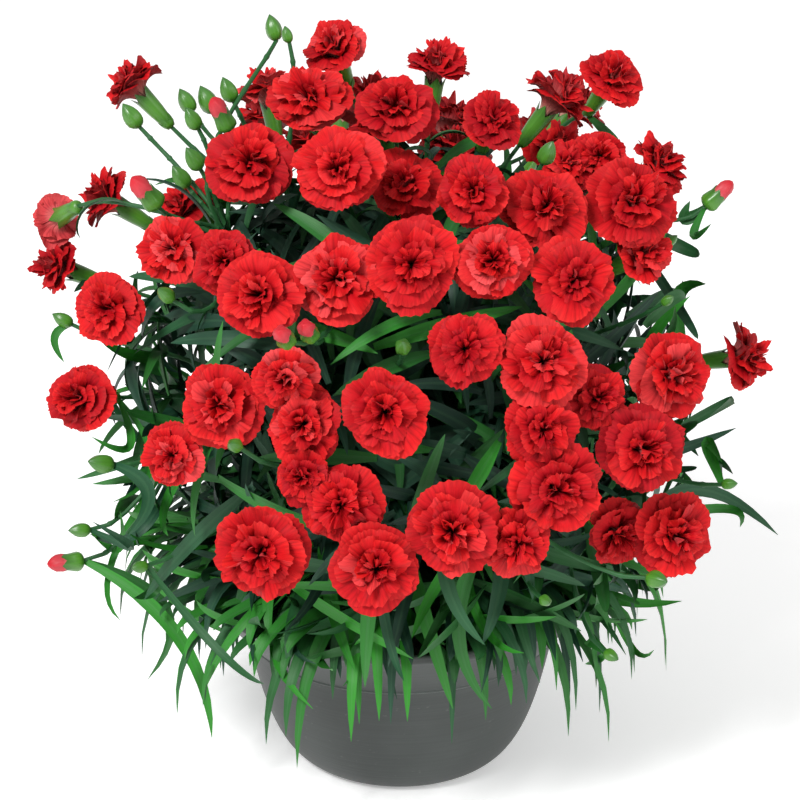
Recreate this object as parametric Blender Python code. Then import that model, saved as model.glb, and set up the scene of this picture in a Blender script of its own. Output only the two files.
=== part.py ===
"""A potted dianthus: a dark grey bowl with a rim band, potting soil, one bushy plant of leafy stems,
buds and strap leaves, and 68 double red blooms, each a body of petals in layers.

Metres, +Z up. The origin is the middle of the bowl's foot, where it meets the table, and -Y is the front.
"""

import math
import random

import bmesh
import bpy
import numpy as np
from mathutils import Vector
from mathutils.bvhtree import BVHTree

MM = 0.001
TAU = math.tau
UP = np.array([0.0, 0.0, 1.0])
GOLDEN_TURN = math.pi * (3 - math.sqrt(5))

# The bowl, from its foot to its rim.
RIM_RADIUS = 115 * MM
RIM_HEIGHT = 113 * MM
BAND_RADIUS = 87 * MM
BAND_HEIGHT = 77 * MM
FOOT_RADIUS = 52 * MM
WALL = 3 * MM
BOWL_SIDES = 26
SOIL_HEIGHT = 98 * MM
FIT_GAP = 0.35 * MM
WELD = 0.0015 * MM

# The plant's crown stands in a plain hole in the soil.
CROWN_RADIUS = 13.5 * MM
CROWN_BOTTOM = 80 * MM
CROWN_SIDES = 12

# The dome that the blooms stand on, and the photograph's view of it.
DOME_CENTRE = np.array([0.0, 0.0, 0.205])
DOME_RADII = np.array([0.178, 0.172, 0.190])
VIEW_ELEVATION = math.radians(23)
VIEW_DISTANCE = 1.40
VIEW_HEIGHT = 0.207
METRES_PER_PIXEL = 0.5375 * MM
PHOTO_MIDDLE = 400

# A bloom, as shares of its radius, and what carries it.
NECK_DEPTH = 0.50
NECK_RADIUS = 0.22
CALYX_LENGTH = 20 * MM
CALYX_RADIUS = 4.8 * MM
CALYX_RUN = 14 * MM
STEM_RADIUS = 1.15 * MM
STEM_ROOM = 2 * MM
STEM_SPREAD = 6
STEM_HANDLE = 0.35
STEM_ROOTS = (140 * MM, 240 * MM)
BLOOM_GAP = 0.35 * MM
STEM_TRIES = 160
BRANCH_LENGTH = 32 * MM
BRANCH_TRIES = 60
BRANCH_CHOICES = 12
STEM_SWAY = 0.6 * MM
FACING_SWAY = 0.008
BUD_WIDTH = 0.62
BUD_RISE = 0.35
BUD_LIFT_STEP = 0.02

# A bloom's rings: how many vertices, how far out and how high, as shares of its radius,
# the depth of the notch at every third vertex, and how much the edge flutters.
BLOOM_LAYERS = (
    (5, NECK_RADIUS, -NECK_DEPTH, 0.00, 0.00),
    (15, 1.08, -0.02, 0.22, 0.07),
    (6, 0.56, 0.08, 0.00, 0.04),
    (12, 0.72, 0.27, 0.18, 0.07),
    (5, 0.34, 0.24, 0.00, 0.04),
    (6, 0.42, 0.46, 0.12, 0.06),
)
BLOOM_MIDDLE = 0.28

# Every bloom that the photograph shows: pixels across and down, diameter in mm,
# lift (1 stands on the dome) and how far it turns from the dome's own direction to the viewer.
FRONT_BLOOMS = (
    (335, 50, 35, 1.00, 0.35),
    (133, 86, 34, 1.00, 0.00),
    (268, 92, 36, 0.96, 0.20),
    (310, 100, 44, 1.00, 0.45),
    (396, 110, 40, 1.02, 0.45),
    (251, 166, 45, 1.03, 0.50),
    (338, 171, 44, 1.05, 0.50),
    (108, 199, 37, 1.00, 0.15),
    (186, 206, 33, 0.86, 0.20),
    (57, 219, 28, 1.00, 0.00),
    (60, 267, 33, 1.04, 0.30),
    (108, 309, 37, 1.03, 0.60),
    (175, 250, 38, 1.00, 0.50),
    (226, 262, 34, 1.03, 0.45),
    (262, 296, 43, 1.05, 0.40),
    (338, 280, 45, 1.01, 0.40),
    (411, 265, 45, 1.04, 0.60),
    (83, 398, 40, 1.00, 0.50),
    (222, 405, 43, 1.00, 0.35),
    (286, 376, 34, 1.03, 0.30),
    (405, 187, 40, 0.86, 0.30),
    (436, 67, 34, 1.00, 0.00),
    (492, 122, 33, 0.97, 0.40),
    (556, 99, 40, 1.00, 0.10),
    (612, 79, 37, 1.00, 0.45),
    (473, 192, 38, 1.03, 0.55),
    (544, 209, 43, 1.00, 0.50),
    (630, 203, 47, 1.05, 0.50),
    (656, 165, 36, 0.88, 0.20),
    (566, 166, 32, 0.92, 0.20),
    (600, 156, 29, 0.98, 0.30),
    (492, 262, 38, 1.03, 0.55),
    (573, 281, 43, 1.04, 0.50),
    (642, 254, 34, 0.98, 0.20),
    (465, 349, 37, 1.03, 0.65),
    (542, 362, 45, 1.03, 0.50),
    (597, 398, 32, 0.98, 0.50),
    (669, 376, 44, 1.02, 0.40),
    (742, 357, 40, 1.00, 0.25),
    (174, 455, 33, 1.02, 0.50),
    (305, 424, 40, 0.98, 0.30),
    (303, 476, 28, 1.00, 0.30),
    (385, 411, 43, 1.05, 0.65),
    (262, 551, 48, 1.06, 0.60),
    (342, 504, 41, 0.99, 0.40),
    (376, 566, 46, 1.07, 0.50),
    (452, 529, 47, 1.03, 0.50),
    (517, 541, 35, 1.02, 0.40),
    (541, 429, 38, 1.01, 0.40),
    (554, 488, 45, 1.03, 0.50),
    (640, 448, 46, 1.04, 0.50),
    (616, 531, 35, 0.94, 0.30),
    (672, 534, 45, 1.05, 0.50),
)
BACK_BLOOMS = 15
BACK_RADII = (18.5 * MM, 22.5 * MM)
BACK_SPACING = 43 * MM
BACK_LIFTS = (1.04, 0.72, -0.02)
BACK_START = 20 * MM
BACK_SPOTS = 260
BACK_SEED = 4
DENSE_MIDDLE = (400, 430)
DENSE_REACH = (250, 215)

# Buds in the photograph: pixels across and down, length in mm, lift, and whether red petals show.
FRONT_BUDS = (
    (273, 27, 14, 1.02, False),
    (287, 34, 9, 1.00, False),
    (186, 100, 14, 1.00, False),
    (207, 99, 16, 0.95, False),
    (228, 89, 14, 1.00, False),
    (192, 118, 13, 1.05, False),
    (222, 116, 17, 1.02, True),
    (193, 158, 14, 1.00, False),
    (180, 176, 14, 0.96, False),
    (131, 115, 15, 1.03, False),
    (147, 194, 19, 1.08, True),
    (717, 196, 17, 1.00, True),
    (588, 133, 15, 1.06, True),
    (548, 152, 14, 1.04, False),
    (520, 165, 10, 1.00, False),
    (284, 337, 15, 1.08, True),
    (308, 331, 15, 1.06, True),
    (403, 346, 12, 1.05, False),
    (497, 316, 14, 1.06, False),
    (165, 294, 12, 1.06, False),
    (62, 319, 12, 0.98, False),
    (100, 463, 15, 1.02, False),
    (79, 530, 12, 1.04, False),
    (68, 562, 17, 1.06, True),
    (139, 567, 10, 1.02, False),
    (234, 445, 11, 1.06, False),
    (658, 580, 14, 1.05, False),
    (730, 484, 9, 1.08, False),
    (612, 656, 10, 1.08, False),
    (546, 601, 9, 1.08, False),
    (592, 481, 14, 1.10, True),
    (667, 124, 7, 0.97, False),
    (672, 240, 8, 1.00, False),
    (668, 300, 8, 1.00, False),
)

# Leaves that the photograph shows along the plant's edge and over the bowl: pixels of the leaf's
# start, middle and tip, and its width in mm.
FRONT_LEAVES = (
    ((205, 602), (171, 632), (148, 679), 5.5),
    ((213, 602), (196, 668), (212, 738), 7.5),
    ((236, 612), (223, 650), (204, 692), 5.5),
    ((228, 638), (240, 670), (264, 684), 4.5),
    ((246, 618), (252, 645), (254, 667), 5.0),
    ((274, 640), (287, 680), (313, 709), 6.5),
    ((190, 536), (140, 531), (90, 534), 5.5),
    ((150, 560), (120, 538), (93, 522), 5.0),
    ((134, 577), (111, 548), (120, 511), 4.0),
    ((132, 578), (107, 590), (120, 620), 4.0),
    ((140, 463), (106, 470), (77, 479), 4.5),
    ((164, 485), (126, 479), (92, 484), 6.0),
    ((152, 485), (134, 492), (113, 502), 3.5),
    ((184, 582), (152, 592), (134, 598), 7.0),
    ((163, 482), (146, 510), (128, 536), 7.5),
    ((178, 500), (163, 515), (168, 536), 5.0),
    ((86, 336), (57, 332), (64, 362), 4.5),
    ((172, 411), (142, 415), (125, 410), 6.5),
    ((150, 461), (118, 449), (92, 437), 4.5),
    ((172, 364), (149, 368), (142, 389), 5.5),
    ((146, 356), (118, 350), (100, 340), 6.5),
    ((106, 268), (88, 282), (74, 292), 5.5),
    ((283, 66), (291, 49), (298, 66), 4.0),
    ((192, 202), (174, 180), (155, 185), 4.0),
    ((650, 150), (666, 104), (680, 118), 6.5),
    ((668, 132), (682, 125), (696, 112), 4.0),
    ((667, 126), (676, 140), (671, 158), 6.5),
    ((592, 132), (606, 132), (618, 143), 5.0),
    ((682, 168), (692, 180), (684, 190), 4.0),
    ((666, 238), (684, 218), (690, 201), 7.0),
    ((676, 244), (694, 236), (711, 224), 4.5),
    ((672, 244), (688, 250), (699, 254), 7.5),
    ((650, 301), (684, 288), (706, 284), 8.5),
    ((642, 342), (668, 316), (690, 296), 7.5),
    ((668, 328), (690, 325), (698, 339), 5.5),
    ((664, 344), (673, 326), (675, 306), 6.0),
    ((700, 398), (728, 402), (710, 416), 5.5),
    ((688, 441), (714, 437), (736, 428), 6.5),
    ((696, 414), (708, 442), (722, 462), 7.0),
    ((712, 482), (722, 463), (733, 474), 5.0),
    ((686, 487), (736, 502), (778, 535), 7.5),
    ((724, 492), (734, 510), (740, 527), 5.0),
    ((674, 470), (686, 469), (697, 467), 4.5),
    ((568, 582), (640, 603), (682, 601), 7.5),
    ((620, 566), (631, 582), (634, 602), 6.0),
    ((626, 560), (617, 572), (609, 584), 4.5),
    ((562, 612), (575, 640), (583, 662), 6.5),
    ((575, 612), (590, 640), (607, 655), 7.0),
    ((590, 600), (612, 632), (626, 655), 6.0),
    ((614, 648), (598, 660), (585, 664), 4.0),
    ((614, 652), (636, 652), (654, 650), 4.0),
    ((594, 582), (604, 598), (606, 613), 8.0),
    ((330, 598), (303, 612), (285, 632), 6.5),
    ((366, 622), (340, 629), (308, 634), 5.5),
    ((333, 620), (345, 648), (356, 672), 8.0),
    ((361, 612), (366, 650), (365, 687), 8.0),
    ((374, 648), (357, 670), (343, 686), 4.5),
    ((378, 618), (386, 660), (397, 699), 6.5),
    ((386, 636), (395, 660), (404, 681), 5.5),
    ((427, 584), (421, 615), (412, 638), 6.5),
    ((431, 608), (438, 660), (453, 709), 8.0),
    ((442, 612), (428, 640), (418, 657), 5.5),
    ((443, 616), (465, 665), (492, 709), 7.5),
    ((509, 570), (495, 610), (482, 645), 8.5),
    ((432, 578), (455, 605), (485, 645), 7.5),
    ((499, 636), (488, 665), (481, 693), 5.5),
    ((478, 638), (505, 648), (524, 653), 5.5),
    ((518, 624), (530, 655), (540, 683), 7.5),
    ((538, 606), (551, 638), (556, 661), 8.0),
    ((548, 562), (538, 586), (531, 603), 8.0),
    ((282, 636), (298, 654), (316, 664), 4.5),
    ((404, 598), (396, 636), (388, 667), 8.5),
)
LEAF_LIFTS = (0.74, 0.92, 1.00)
LEAF_SHIFTS = (0.0, 0.03, -0.03, 0.06, -0.06, 0.09, -0.09, 0.12, -0.12, 0.15)

# The dense heart of the bush, radius and height, which every leaf and stem grows out of.
HEART_PROFILE = (
    (28 * MM, 106 * MM),
    (46 * MM, 120 * MM),
    (54 * MM, 144 * MM),
    (55 * MM, 172 * MM),
    (49 * MM, 200 * MM),
    (37 * MM, 224 * MM),
    (21 * MM, 242 * MM),
)
HEART_TOP = 254 * MM
HEART_SIDES = 14
HEART_UNEVEN = 0.06
HEART_TUFTS = (0.74, 1.08)
ROOT_DEPTH = 0.62

# Leaves that fill the bush between and behind those, drawn by rules: how many of each kind, and their
# ranges, with heights, reach, length and width in mm and pitch and bend in degrees.
RIM_LEAVES = 96
BUSH_LEAVES = 150
STEM_LEAVES = 144
RIM_LEAF = {
    "root": (118, 150),
    "climb": (128, 152),
    "reach": (128, 156),
    "tip": (58, 112),
    "width": (6.5, 9),
}
BUSH_LEAF = {
    "root": (126, 246),
    "pitch": (15, 65),
    "bend": (40, 115),
    "length": (62, 104),
    "width": (7, 9.5),
}
STEM_LEAF = {"bend": (50, 165), "length": (28, 55), "width": (4.5, 6.5)}
RIM_CLIMB_REACH = 104 * MM
LEAF_TRIES = 14
LEAF_SEED = 11
LEAF_STATIONS = 13
LEAF_KEEL = 1.1 * MM
LEAF_TWIST = 1.0
TRACED_ROOTS = (126 * MM, 245 * MM)
TRACED_RISE = 8 * MM

# How far leaves keep from blooms, from the bowl's side and rim, and from the ground.
BLOOM_ROOM = 1 * MM
BOWL_ROOM = 4 * MM
RIM_ROOM = 5 * MM
GROUND_ROOM = 14 * MM

# The leaves that stand in the solid: all the traced ones, and others while they keep this far apart.
TRACED_STATIONS = (0, 4, 8)
OTHER_STATIONS = (0, 6)
BLADE_STRAY = 5 * MM
SOLID_SPACING = 9 * MM
SOLID_RIM_LEAVES = 30
SOLID_LEAVES = 142


def unit(v):
    return v / np.linalg.norm(v)


def photo_ray(across, down):
    """The camera's place and the direction of its ray through a pixel of the photograph."""
    c, s = math.cos(VIEW_ELEVATION), math.sin(VIEW_ELEVATION)
    ahead, above = np.array([0.0, c, -s]), np.array([0.0, s, c])
    eye = np.array([0.0, 0.0, VIEW_HEIGHT]) - ahead * VIEW_DISTANCE
    right = (across - PHOTO_MIDDLE) * METRES_PER_PIXEL
    rise = (PHOTO_MIDDLE - down) * METRES_PER_PIXEL
    return eye, unit(ahead * VIEW_DISTANCE + above * rise + np.array([right, 0.0, 0.0]))


def on_dome(across, down, lift):
    """Where a pixel's ray first meets the dome, scaled by lift, or passes nearest to it."""
    eye, ray = photo_ray(across, down)
    start, step = (eye - DOME_CENTRE) / DOME_RADII, ray / DOME_RADII
    nearest = -start @ step / (step @ step)
    short = lift**2 - ((start + nearest * step) ** 2).sum()
    return eye + ray * (nearest - math.sqrt(max(short, 0.0) / (step @ step)))


def dome_normal(point):
    return unit((point - DOME_CENTRE) / DOME_RADII**2)


def photo_pixel(point):
    """The pixel of the photograph where a point shows, and how many pixels a metre spans there."""
    eye, _ = photo_ray(PHOTO_MIDDLE, PHOTO_MIDDLE)
    c, s = math.cos(VIEW_ELEVATION), math.sin(VIEW_ELEVATION)
    away = point - eye
    scale = VIEW_DISTANCE / METRES_PER_PIXEL / (away[1] * c - away[2] * s)
    return PHOTO_MIDDLE + away[0] * scale, PHOTO_MIDDLE - (away[1] * s + away[2] * c) * scale, scale


def hidden(centre, radius, front):
    """Whether a bloom stays behind the blooms and the dense middle of the bush in the photograph."""
    x, y, scale = photo_pixel(centre)
    turns = np.linspace(0, TAU, 12, endpoint=False)
    edge_x, edge_y = x + radius * scale * np.cos(turns), y + radius * scale * np.sin(turns)
    (mid_x, mid_y), (half_x, half_y) = DENSE_MIDDLE, DENSE_REACH
    behind = ((edge_x - mid_x) / half_x) ** 2 + ((edge_y - mid_y) / half_y) ** 2 < 1
    for across, down, size in front:
        behind |= np.hypot(edge_x - across, edge_y - down) < size
    return behind.sum() >= 11


def bloom_layout():
    """(centre, facing direction, radius) of each bloom: those in the photograph, then those behind."""
    eye, _ = photo_ray(PHOTO_MIDDLE, PHOTO_MIDDLE)
    blooms = []
    for across, down, diameter, lift, toward in FRONT_BLOOMS:
        centre = on_dome(across, down, lift)
        facing = unit(dome_normal(centre) * (1 - toward) + unit(eye - centre) * toward)
        blooms.append((centre, facing, diameter * MM / 2))
    front = [(*photo_pixel(c)[:2], r * photo_pixel(c)[2]) for c, _, r in blooms]
    draw = random.Random(BACK_SEED)
    for k in range(BACK_SPOTS):
        height = 1 - (k + 0.5) / BACK_SPOTS * 1.06
        turn = k * GOLDEN_TURN
        flat = math.sqrt(1 - height**2)
        spot = np.array([flat * math.cos(turn), flat * math.sin(turn), height]) * DOME_RADII
        radius = draw.uniform(*BACK_RADII)
        sway = np.array([draw.uniform(-0.25, 0.25), draw.uniform(-0.25, 0.25), 0.2])
        for lift in np.arange(*BACK_LIFTS):
            centre = DOME_CENTRE + spot * lift
            apart = min(np.linalg.norm(centre - b[0]) for b in blooms)
            if centre[1] > BACK_START and apart > BACK_SPACING and hidden(centre, radius, front):
                blooms.append((centre, unit(dome_normal(centre) + sway), radius))
                break
        if len(blooms) == len(FRONT_BLOOMS) + BACK_BLOOMS:
            break
    for k, (centre, facing, radius) in enumerate(blooms):
        way = facing
        for attempt in range(STEM_TRIES):
            calyx = centre - np.outer(np.linspace(NECK_DEPTH * radius, CALYX_LENGTH + CALYX_RUN, 7), way)
            if clear_of_blooms(calyx, blooms, CALYX_RADIUS, k):
                break
            sway = [draw.uniform(-1, 1) * attempt * FACING_SWAY for _ in range(3)]
            way = unit(facing + sway)
        blooms[k] = centre, way, radius
    return blooms


def near_bloom(points, bloom, margin):
    """Which points lie inside a bloom's envelope, a disc over a cone, grown by margin."""
    centre, facing, radius = bloom
    away = points - centre
    height = away @ facing
    across = np.linalg.norm(away - np.outer(height, facing), axis=1)
    slope = np.clip((height / radius + 0.55) / 0.43, 0.0, 1.0)
    reach = radius * (0.22 + 0.90 * slope) + margin
    return (across < reach) & (height > -0.55 * radius - margin) & (height < 0.55 * radius + margin)


def clear_of_blooms(points, blooms, margin, own=None):
    return not any(near_bloom(points, b, margin).any() for i, b in enumerate(blooms) if i != own)


def heart_radius(height):
    heights = [z for _, z in HEART_PROFILE] + [HEART_TOP]
    radii = [r for r, _ in HEART_PROFILE] + [0.0]
    return float(np.interp(height, heights, radii))


def curve_points(ends, count):
    """Points along the cubic curve through its four control points."""
    t = np.linspace(0, 1, count)[:, None]
    a, b, c, d = ends
    return a * (1 - t) ** 3 + 3 * b * t * (1 - t) ** 2 + 3 * c * t**2 * (1 - t) + d * t**3


def heart_root(tip):
    """Where a stem that reaches tip leaves the inside of the bush's heart."""
    flat = math.hypot(tip[0], tip[1])
    low, high = STEM_ROOTS
    height = min(max(low + 0.45 * (tip[2] - low), low), high)
    outward = np.array([tip[0], tip[1], 0.0]) / max(flat, 1e-6)
    return outward * min(heart_radius(height) * ROOT_DEPTH, flat * 0.8) + UP * height


def stem_curve(root, tip, facing, blooms, own, tries, draw):
    """Control points of a stem from its root to its tip, bent clear of other blooms, and if it is clear."""
    length = np.linalg.norm(tip - root)
    rise = unit(np.array([root[0], root[1], 0.0]) * STEM_SPREAD + UP)
    handle = length * STEM_HANDLE
    sway = np.zeros(3)
    for attempt in range(tries):
        ends = root, root + rise * handle + sway * 0.6, tip - facing * handle + sway, tip
        a, b, c = curve_points(ends, 3)
        share = np.linspace(0, 1, 8)[:, None]
        chords = np.vstack([a + (b - a) * share, b + (c - b) * share])
        if clear_of_blooms(np.vstack([chords, curve_points(ends, 14)[:-1]]), blooms, STEM_ROOM, own):
            return ends, True
        reach = STEM_SWAY * (attempt + 1)
        sway = np.array([draw.uniform(-1, 1), draw.uniform(-1, 1), draw.uniform(-1, 0.6)]) * reach
    return ends, False


def stem_layout(blooms):
    """Control points of each bloom's stem, which ends where its calyx starts."""
    draw = random.Random(LEAF_SEED)
    stems = []
    for i, (centre, facing, radius) in enumerate(blooms):
        tip = centre - facing * (NECK_DEPTH * radius + BLOOM_GAP + CALYX_LENGTH)
        stems.append(stem_curve(heart_root(tip), tip, facing, blooms, i, STEM_TRIES, draw)[0])
    return stems


def bud_layout(blooms, stems):
    """(base, facing, length, red petals show, stem's curve) of each bud that has room for its stem."""
    draw = random.Random(LEAF_SEED + 1)
    stalks = np.array([curve_points(ends, 3)[1] for ends in stems])
    buds = []
    for across, down, length, lift, opening in FRONT_BUDS:
        size = length * MM
        for nearer in range(12):
            middle = on_dome(across, down, lift + BUD_LIFT_STEP * nearer)
            facing = unit(dome_normal(middle) + UP * BUD_RISE)
            body = middle + np.outer(np.linspace(-0.5, 0.5, 5), facing) * size
            if clear_of_blooms(body, blooms, BUD_WIDTH * size / 2 + BLOOM_ROOM):
                break
        base = body[0]
        near = np.argsort(np.linalg.norm(stalks - (base - facing * BRANCH_LENGTH), axis=1))
        for root in [*stalks[near[:BRANCH_CHOICES]], heart_root(base)]:
            ends, fits = stem_curve(root, base, facing, blooms, None, BRANCH_TRIES, draw)
            if fits:
                buds.append((base, facing, size, opening, ends))
                break
    return buds


def bent_leaf(root, heading, pitch, bend, length, twist):
    """A leaf that sets out at heading and pitch and bends down by bend: its line, directions and sides."""
    share = np.linspace(0, 1, LEAF_STATIONS)
    angle = pitch - bend * share**1.35
    ahead = np.array([math.cos(heading), math.sin(heading), 0.0])
    side = np.array([-math.sin(heading), math.cos(heading), 0.0])
    ways = np.outer(np.cos(angle), ahead) + np.outer(np.sin(angle), UP)
    steps = (ways[1:] + ways[:-1]) / 2 * (length / (LEAF_STATIONS - 1))
    line = root + np.vstack([np.zeros(3), np.cumsum(steps, axis=0)])
    turn = (twist * share)[:, None]
    return line, ways, side * np.cos(turn) + np.cross(ways, side) * np.sin(turn)


def rim_leaf(turn, lean, root, climb, reach, tip):
    """A leaf out of the heart at turn that climbs over the rim and hangs down outside it at turn + lean."""
    first = np.array([math.cos(turn), math.sin(turn), 0.0])
    last = np.array([math.cos(turn + lean), math.sin(turn + lean), 0.0])
    ends = [
        first * heart_radius(root) * ROOT_DEPTH + UP * root,
        unit(first + last) * RIM_CLIMB_REACH + UP * climb,
        last * reach + UP * climb,
        last * reach + UP * tip,
    ]
    line = curve_points(ends, LEAF_STATIONS)
    ways = np.gradient(line, axis=0)
    ways /= np.linalg.norm(ways, axis=1, keepdims=True)
    sides = np.cross(UP, last) - ways * (ways @ np.cross(UP, last))[:, None]
    return line, ways, sides / np.linalg.norm(sides, axis=1, keepdims=True)


def traced_leaf(start, middle, tip, nearer, stalks):
    """A leaf through pixels of the photograph, out of the heart or a stem, its broad side to the viewer."""
    seen = [on_dome(*at, lift + nearer) for at, lift in zip((start, middle, tip), LEAF_LIFTS)]
    outward = unit(np.array([seen[0][0], seen[0][1], 0.0]))
    height = min(max(seen[0][2] + TRACED_RISE, TRACED_ROOTS[0]), TRACED_ROOTS[1])
    root = outward * heart_radius(height) * ROOT_DEPTH + UP * height
    stalk = stalks[np.linalg.norm(stalks - seen[0], axis=1).argmin()]
    if np.linalg.norm(stalk - seen[0]) < np.linalg.norm(root - seen[0]):
        root = stalk
    before, after = np.linalg.norm(seen[1] - root), np.linalg.norm(seen[2] - seen[1])
    m = before / (before + after)
    bow = (seen[1] - root * (1 - m) ** 2 - seen[2] * m**2) / (2 * m * (1 - m))
    t = np.linspace(0, 1, LEAF_STATIONS)[:, None]
    line = root * (1 - t) ** 2 + 2 * bow * t * (1 - t) + seen[2] * t**2
    ways = np.gradient(line, axis=0)
    ways /= np.linalg.norm(ways, axis=1, keepdims=True)
    eye, _ = photo_ray(PHOTO_MIDDLE, PHOTO_MIDDLE)
    sides = np.cross(ways, line - eye)
    return line, ways, sides / np.linalg.norm(sides, axis=1, keepdims=True)


def leaf_widths(width):
    """A strap leaf's width along its length: narrow at the root, widest at a third, drawn to a point."""
    share = np.linspace(0, 1, LEAF_STATIONS)
    rise = 0.45 + 0.55 * np.minimum(share / 0.30, 1.0)
    return width * rise * np.sqrt(1 - np.clip((share - 0.30) / 0.70, 0, 1) ** 1.8)


def bowl_radius(height):
    """The bowl's outer radius at a height."""
    heights = [0, 12 * MM, BAND_HEIGHT, RIM_HEIGHT]
    return np.interp(height, heights, [FOOT_RADIUS, 0.070, BAND_RADIUS, RIM_RADIUS])


def leaf_fits(line, width, blooms):
    """Whether a leaf clears the blooms, the bowl and the ground."""
    flat = np.hypot(line[:, 0], line[:, 1])
    over_bowl = (line[:, 2] < RIM_HEIGHT + RIM_ROOM) & (flat < bowl_radius(line[:, 2]) + BOWL_ROOM)
    if over_bowl.any() or line[:, 2].min() < GROUND_ROOM:
        return False
    between = (line[1:] + line[:-1]) / 2
    return clear_of_blooms(np.vstack([line, between]), blooms, width / 2 + BLOOM_ROOM)


def leaf_layout(blooms, stems, buds):
    """(kind, width, line, directions, sides) of each leaf: traced ones first, then those drawn by rules."""
    draw = random.Random(LEAF_SEED + 2)
    leaves = []

    def span(rule, name):
        return draw.uniform(*rule[name])

    def rim(k, of):
        turn = k * GOLDEN_TURN + draw.uniform(-0.15, 0.15)
        heights = [span(RIM_LEAF, name) * MM for name in ("root", "climb", "reach", "tip")]
        return span(RIM_LEAF, "width") * MM, rim_leaf(turn, draw.uniform(-0.35, 0.35), *heights)

    def bush(k, of):
        share = (k + 0.5) / of
        low, high = BUSH_LEAF["root"]
        height = (low + (high - low) * share + draw.uniform(-6, 6)) * MM
        turn = k * GOLDEN_TURN + draw.uniform(-0.2, 0.2)
        reach = heart_radius(height) * ROOT_DEPTH
        root = np.array([reach * math.cos(turn), reach * math.sin(turn), height])
        pitch = math.radians(span(BUSH_LEAF, "pitch") + 25 * share)
        bend = math.radians(span(BUSH_LEAF, "bend"))
        heading, twist = turn + draw.uniform(-1.0, 1.0), draw.uniform(-LEAF_TWIST, LEAF_TWIST)
        shape = bent_leaf(root, heading, pitch, bend, span(BUSH_LEAF, "length") * MM, twist)
        return span(BUSH_LEAF, "width") * MM, shape

    def on_stem(k, of):
        path = curve_points(stems[k % len(stems)], 21)
        at = draw.randint(8, 17)
        along = unit(path[at + 1] - path[at - 1])
        side = unit(np.cross(along, np.array([draw.uniform(-1, 1) for _ in range(3)])))
        way = unit(along * 0.75 + side * 0.66)
        root, heading = path[at] - way * STEM_RADIUS, math.atan2(way[1], way[0])
        bend, twist = math.radians(span(STEM_LEAF, "bend")), draw.uniform(-LEAF_TWIST, LEAF_TWIST)
        shape = bent_leaf(root, heading, math.asin(way[2]), bend, span(STEM_LEAF, "length") * MM, twist)
        return span(STEM_LEAF, "width") * MM, shape

    stalks = np.vstack([curve_points(ends, 3)[1:] for ends in stems + [bud[4] for bud in buds]])
    outer = np.array([[0.0, 0.0, -1.0]])
    uses = np.zeros(len(stalks))
    for start, middle, tip, width in FRONT_LEAVES:
        choices = []
        for nearer in LEAF_SHIFTS:
            line, ways, sides = traced_leaf(start, middle, tip, nearer, stalks[uses < 2])
            if leaf_fits(line[2:], width * MM, blooms):
                room = np.linalg.norm(outer[:, None] - line[None, 4:], axis=2).min()
                choices.append((min(room, 8 * MM), -abs(nearer), line, ways, sides))
        if choices:
            *_, line, ways, sides = max(choices, key=lambda choice: choice[:2])
            leaves.append(("traced", width * MM, line, ways, sides))
            outer = np.vstack([outer, line[4:]])
            uses += np.linalg.norm(stalks - line[0], axis=1) < 1 * MM
    rules = ("rim", rim, RIM_LEAVES), ("bush", bush, BUSH_LEAVES), ("stem", on_stem, STEM_LEAVES)
    for kind, rule, of in rules:
        for k in range(of):
            for _ in range(LEAF_TRIES):
                width, (line, ways, sides) = rule(k, of)
                if leaf_fits(line, width, blooms):
                    leaves.append((kind, width, line, ways, sides))
                    break
    return leaves


def zip_rings(lower, upper):
    """Triangles that join two rings of vertex numbers, each spread evenly around from the same side."""
    m, n = len(lower), len(upper)
    if m == 1:
        return [(lower[0], upper[(j + 1) % n], upper[j]) for j in range(n)]
    if n == 1:
        return [(lower[i], lower[(i + 1) % m], upper[0]) for i in range(m)]
    faces = []
    i = j = 0
    while i < m or j < n:
        if j == n or (i < m and (i + 1) / m <= (j + 1) / n):
            faces.append((lower[i % m], lower[(i + 1) % m], upper[j % n]))
            i += 1
        else:
            faces.append((lower[i % m], upper[(j + 1) % n], upper[j % n]))
            j += 1
    return faces


def solid(rings):
    """Vertices and faces of a closed body through a chain of rings, capped at both ends."""
    rings = [np.atleast_2d(ring) for ring in rings]
    starts = np.cumsum([0] + [len(ring) for ring in rings])
    numbers = [list(range(a, b)) for a, b in zip(starts, starts[1:])]
    faces = [face for lower, upper in zip(numbers, numbers[1:]) for face in zip_rings(lower, upper)]
    if len(numbers[0]) > 1:
        faces.append(tuple(reversed(numbers[0])))
    if len(numbers[-1]) > 1:
        faces.append(tuple(numbers[-1]))
    return np.vstack(rings), faces


def turned_ring(radius, height, sides):
    turns = np.arange(sides) * TAU / sides
    return np.column_stack([radius * np.cos(turns), radius * np.sin(turns), np.full(sides, height)])


def wall_curve(outset, count):
    """Radius and height along the bowl's rounded wall, from its foot to its band."""
    ends = [(FOOT_RADIUS, 0), (FOOT_RADIUS + 16 * MM, 0), (BAND_RADIUS - 9 * MM, 30 * MM)]
    ends = [np.array([*end, 0.0]) for end in [*ends, (BAND_RADIUS - 1 * MM, BAND_HEIGHT - 2 * MM)]]
    curve = curve_points(ends, count)[:, :2]
    along = np.gradient(curve, axis=0)
    along /= np.linalg.norm(along, axis=1, keepdims=True)
    return curve + outset * np.column_stack([along[:, 1], -along[:, 0]])


def inside_profile():
    """Radius and height down the inside of the bowl's wall, from its collar to its floor."""
    rounded = wall_curve(-WALL, 4)[1:3]
    return [(BAND_RADIUS - WALL, BAND_HEIGHT + 2 * MM), *reversed(rounded), (FOOT_RADIUS - 2 * MM, WALL)]


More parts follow.
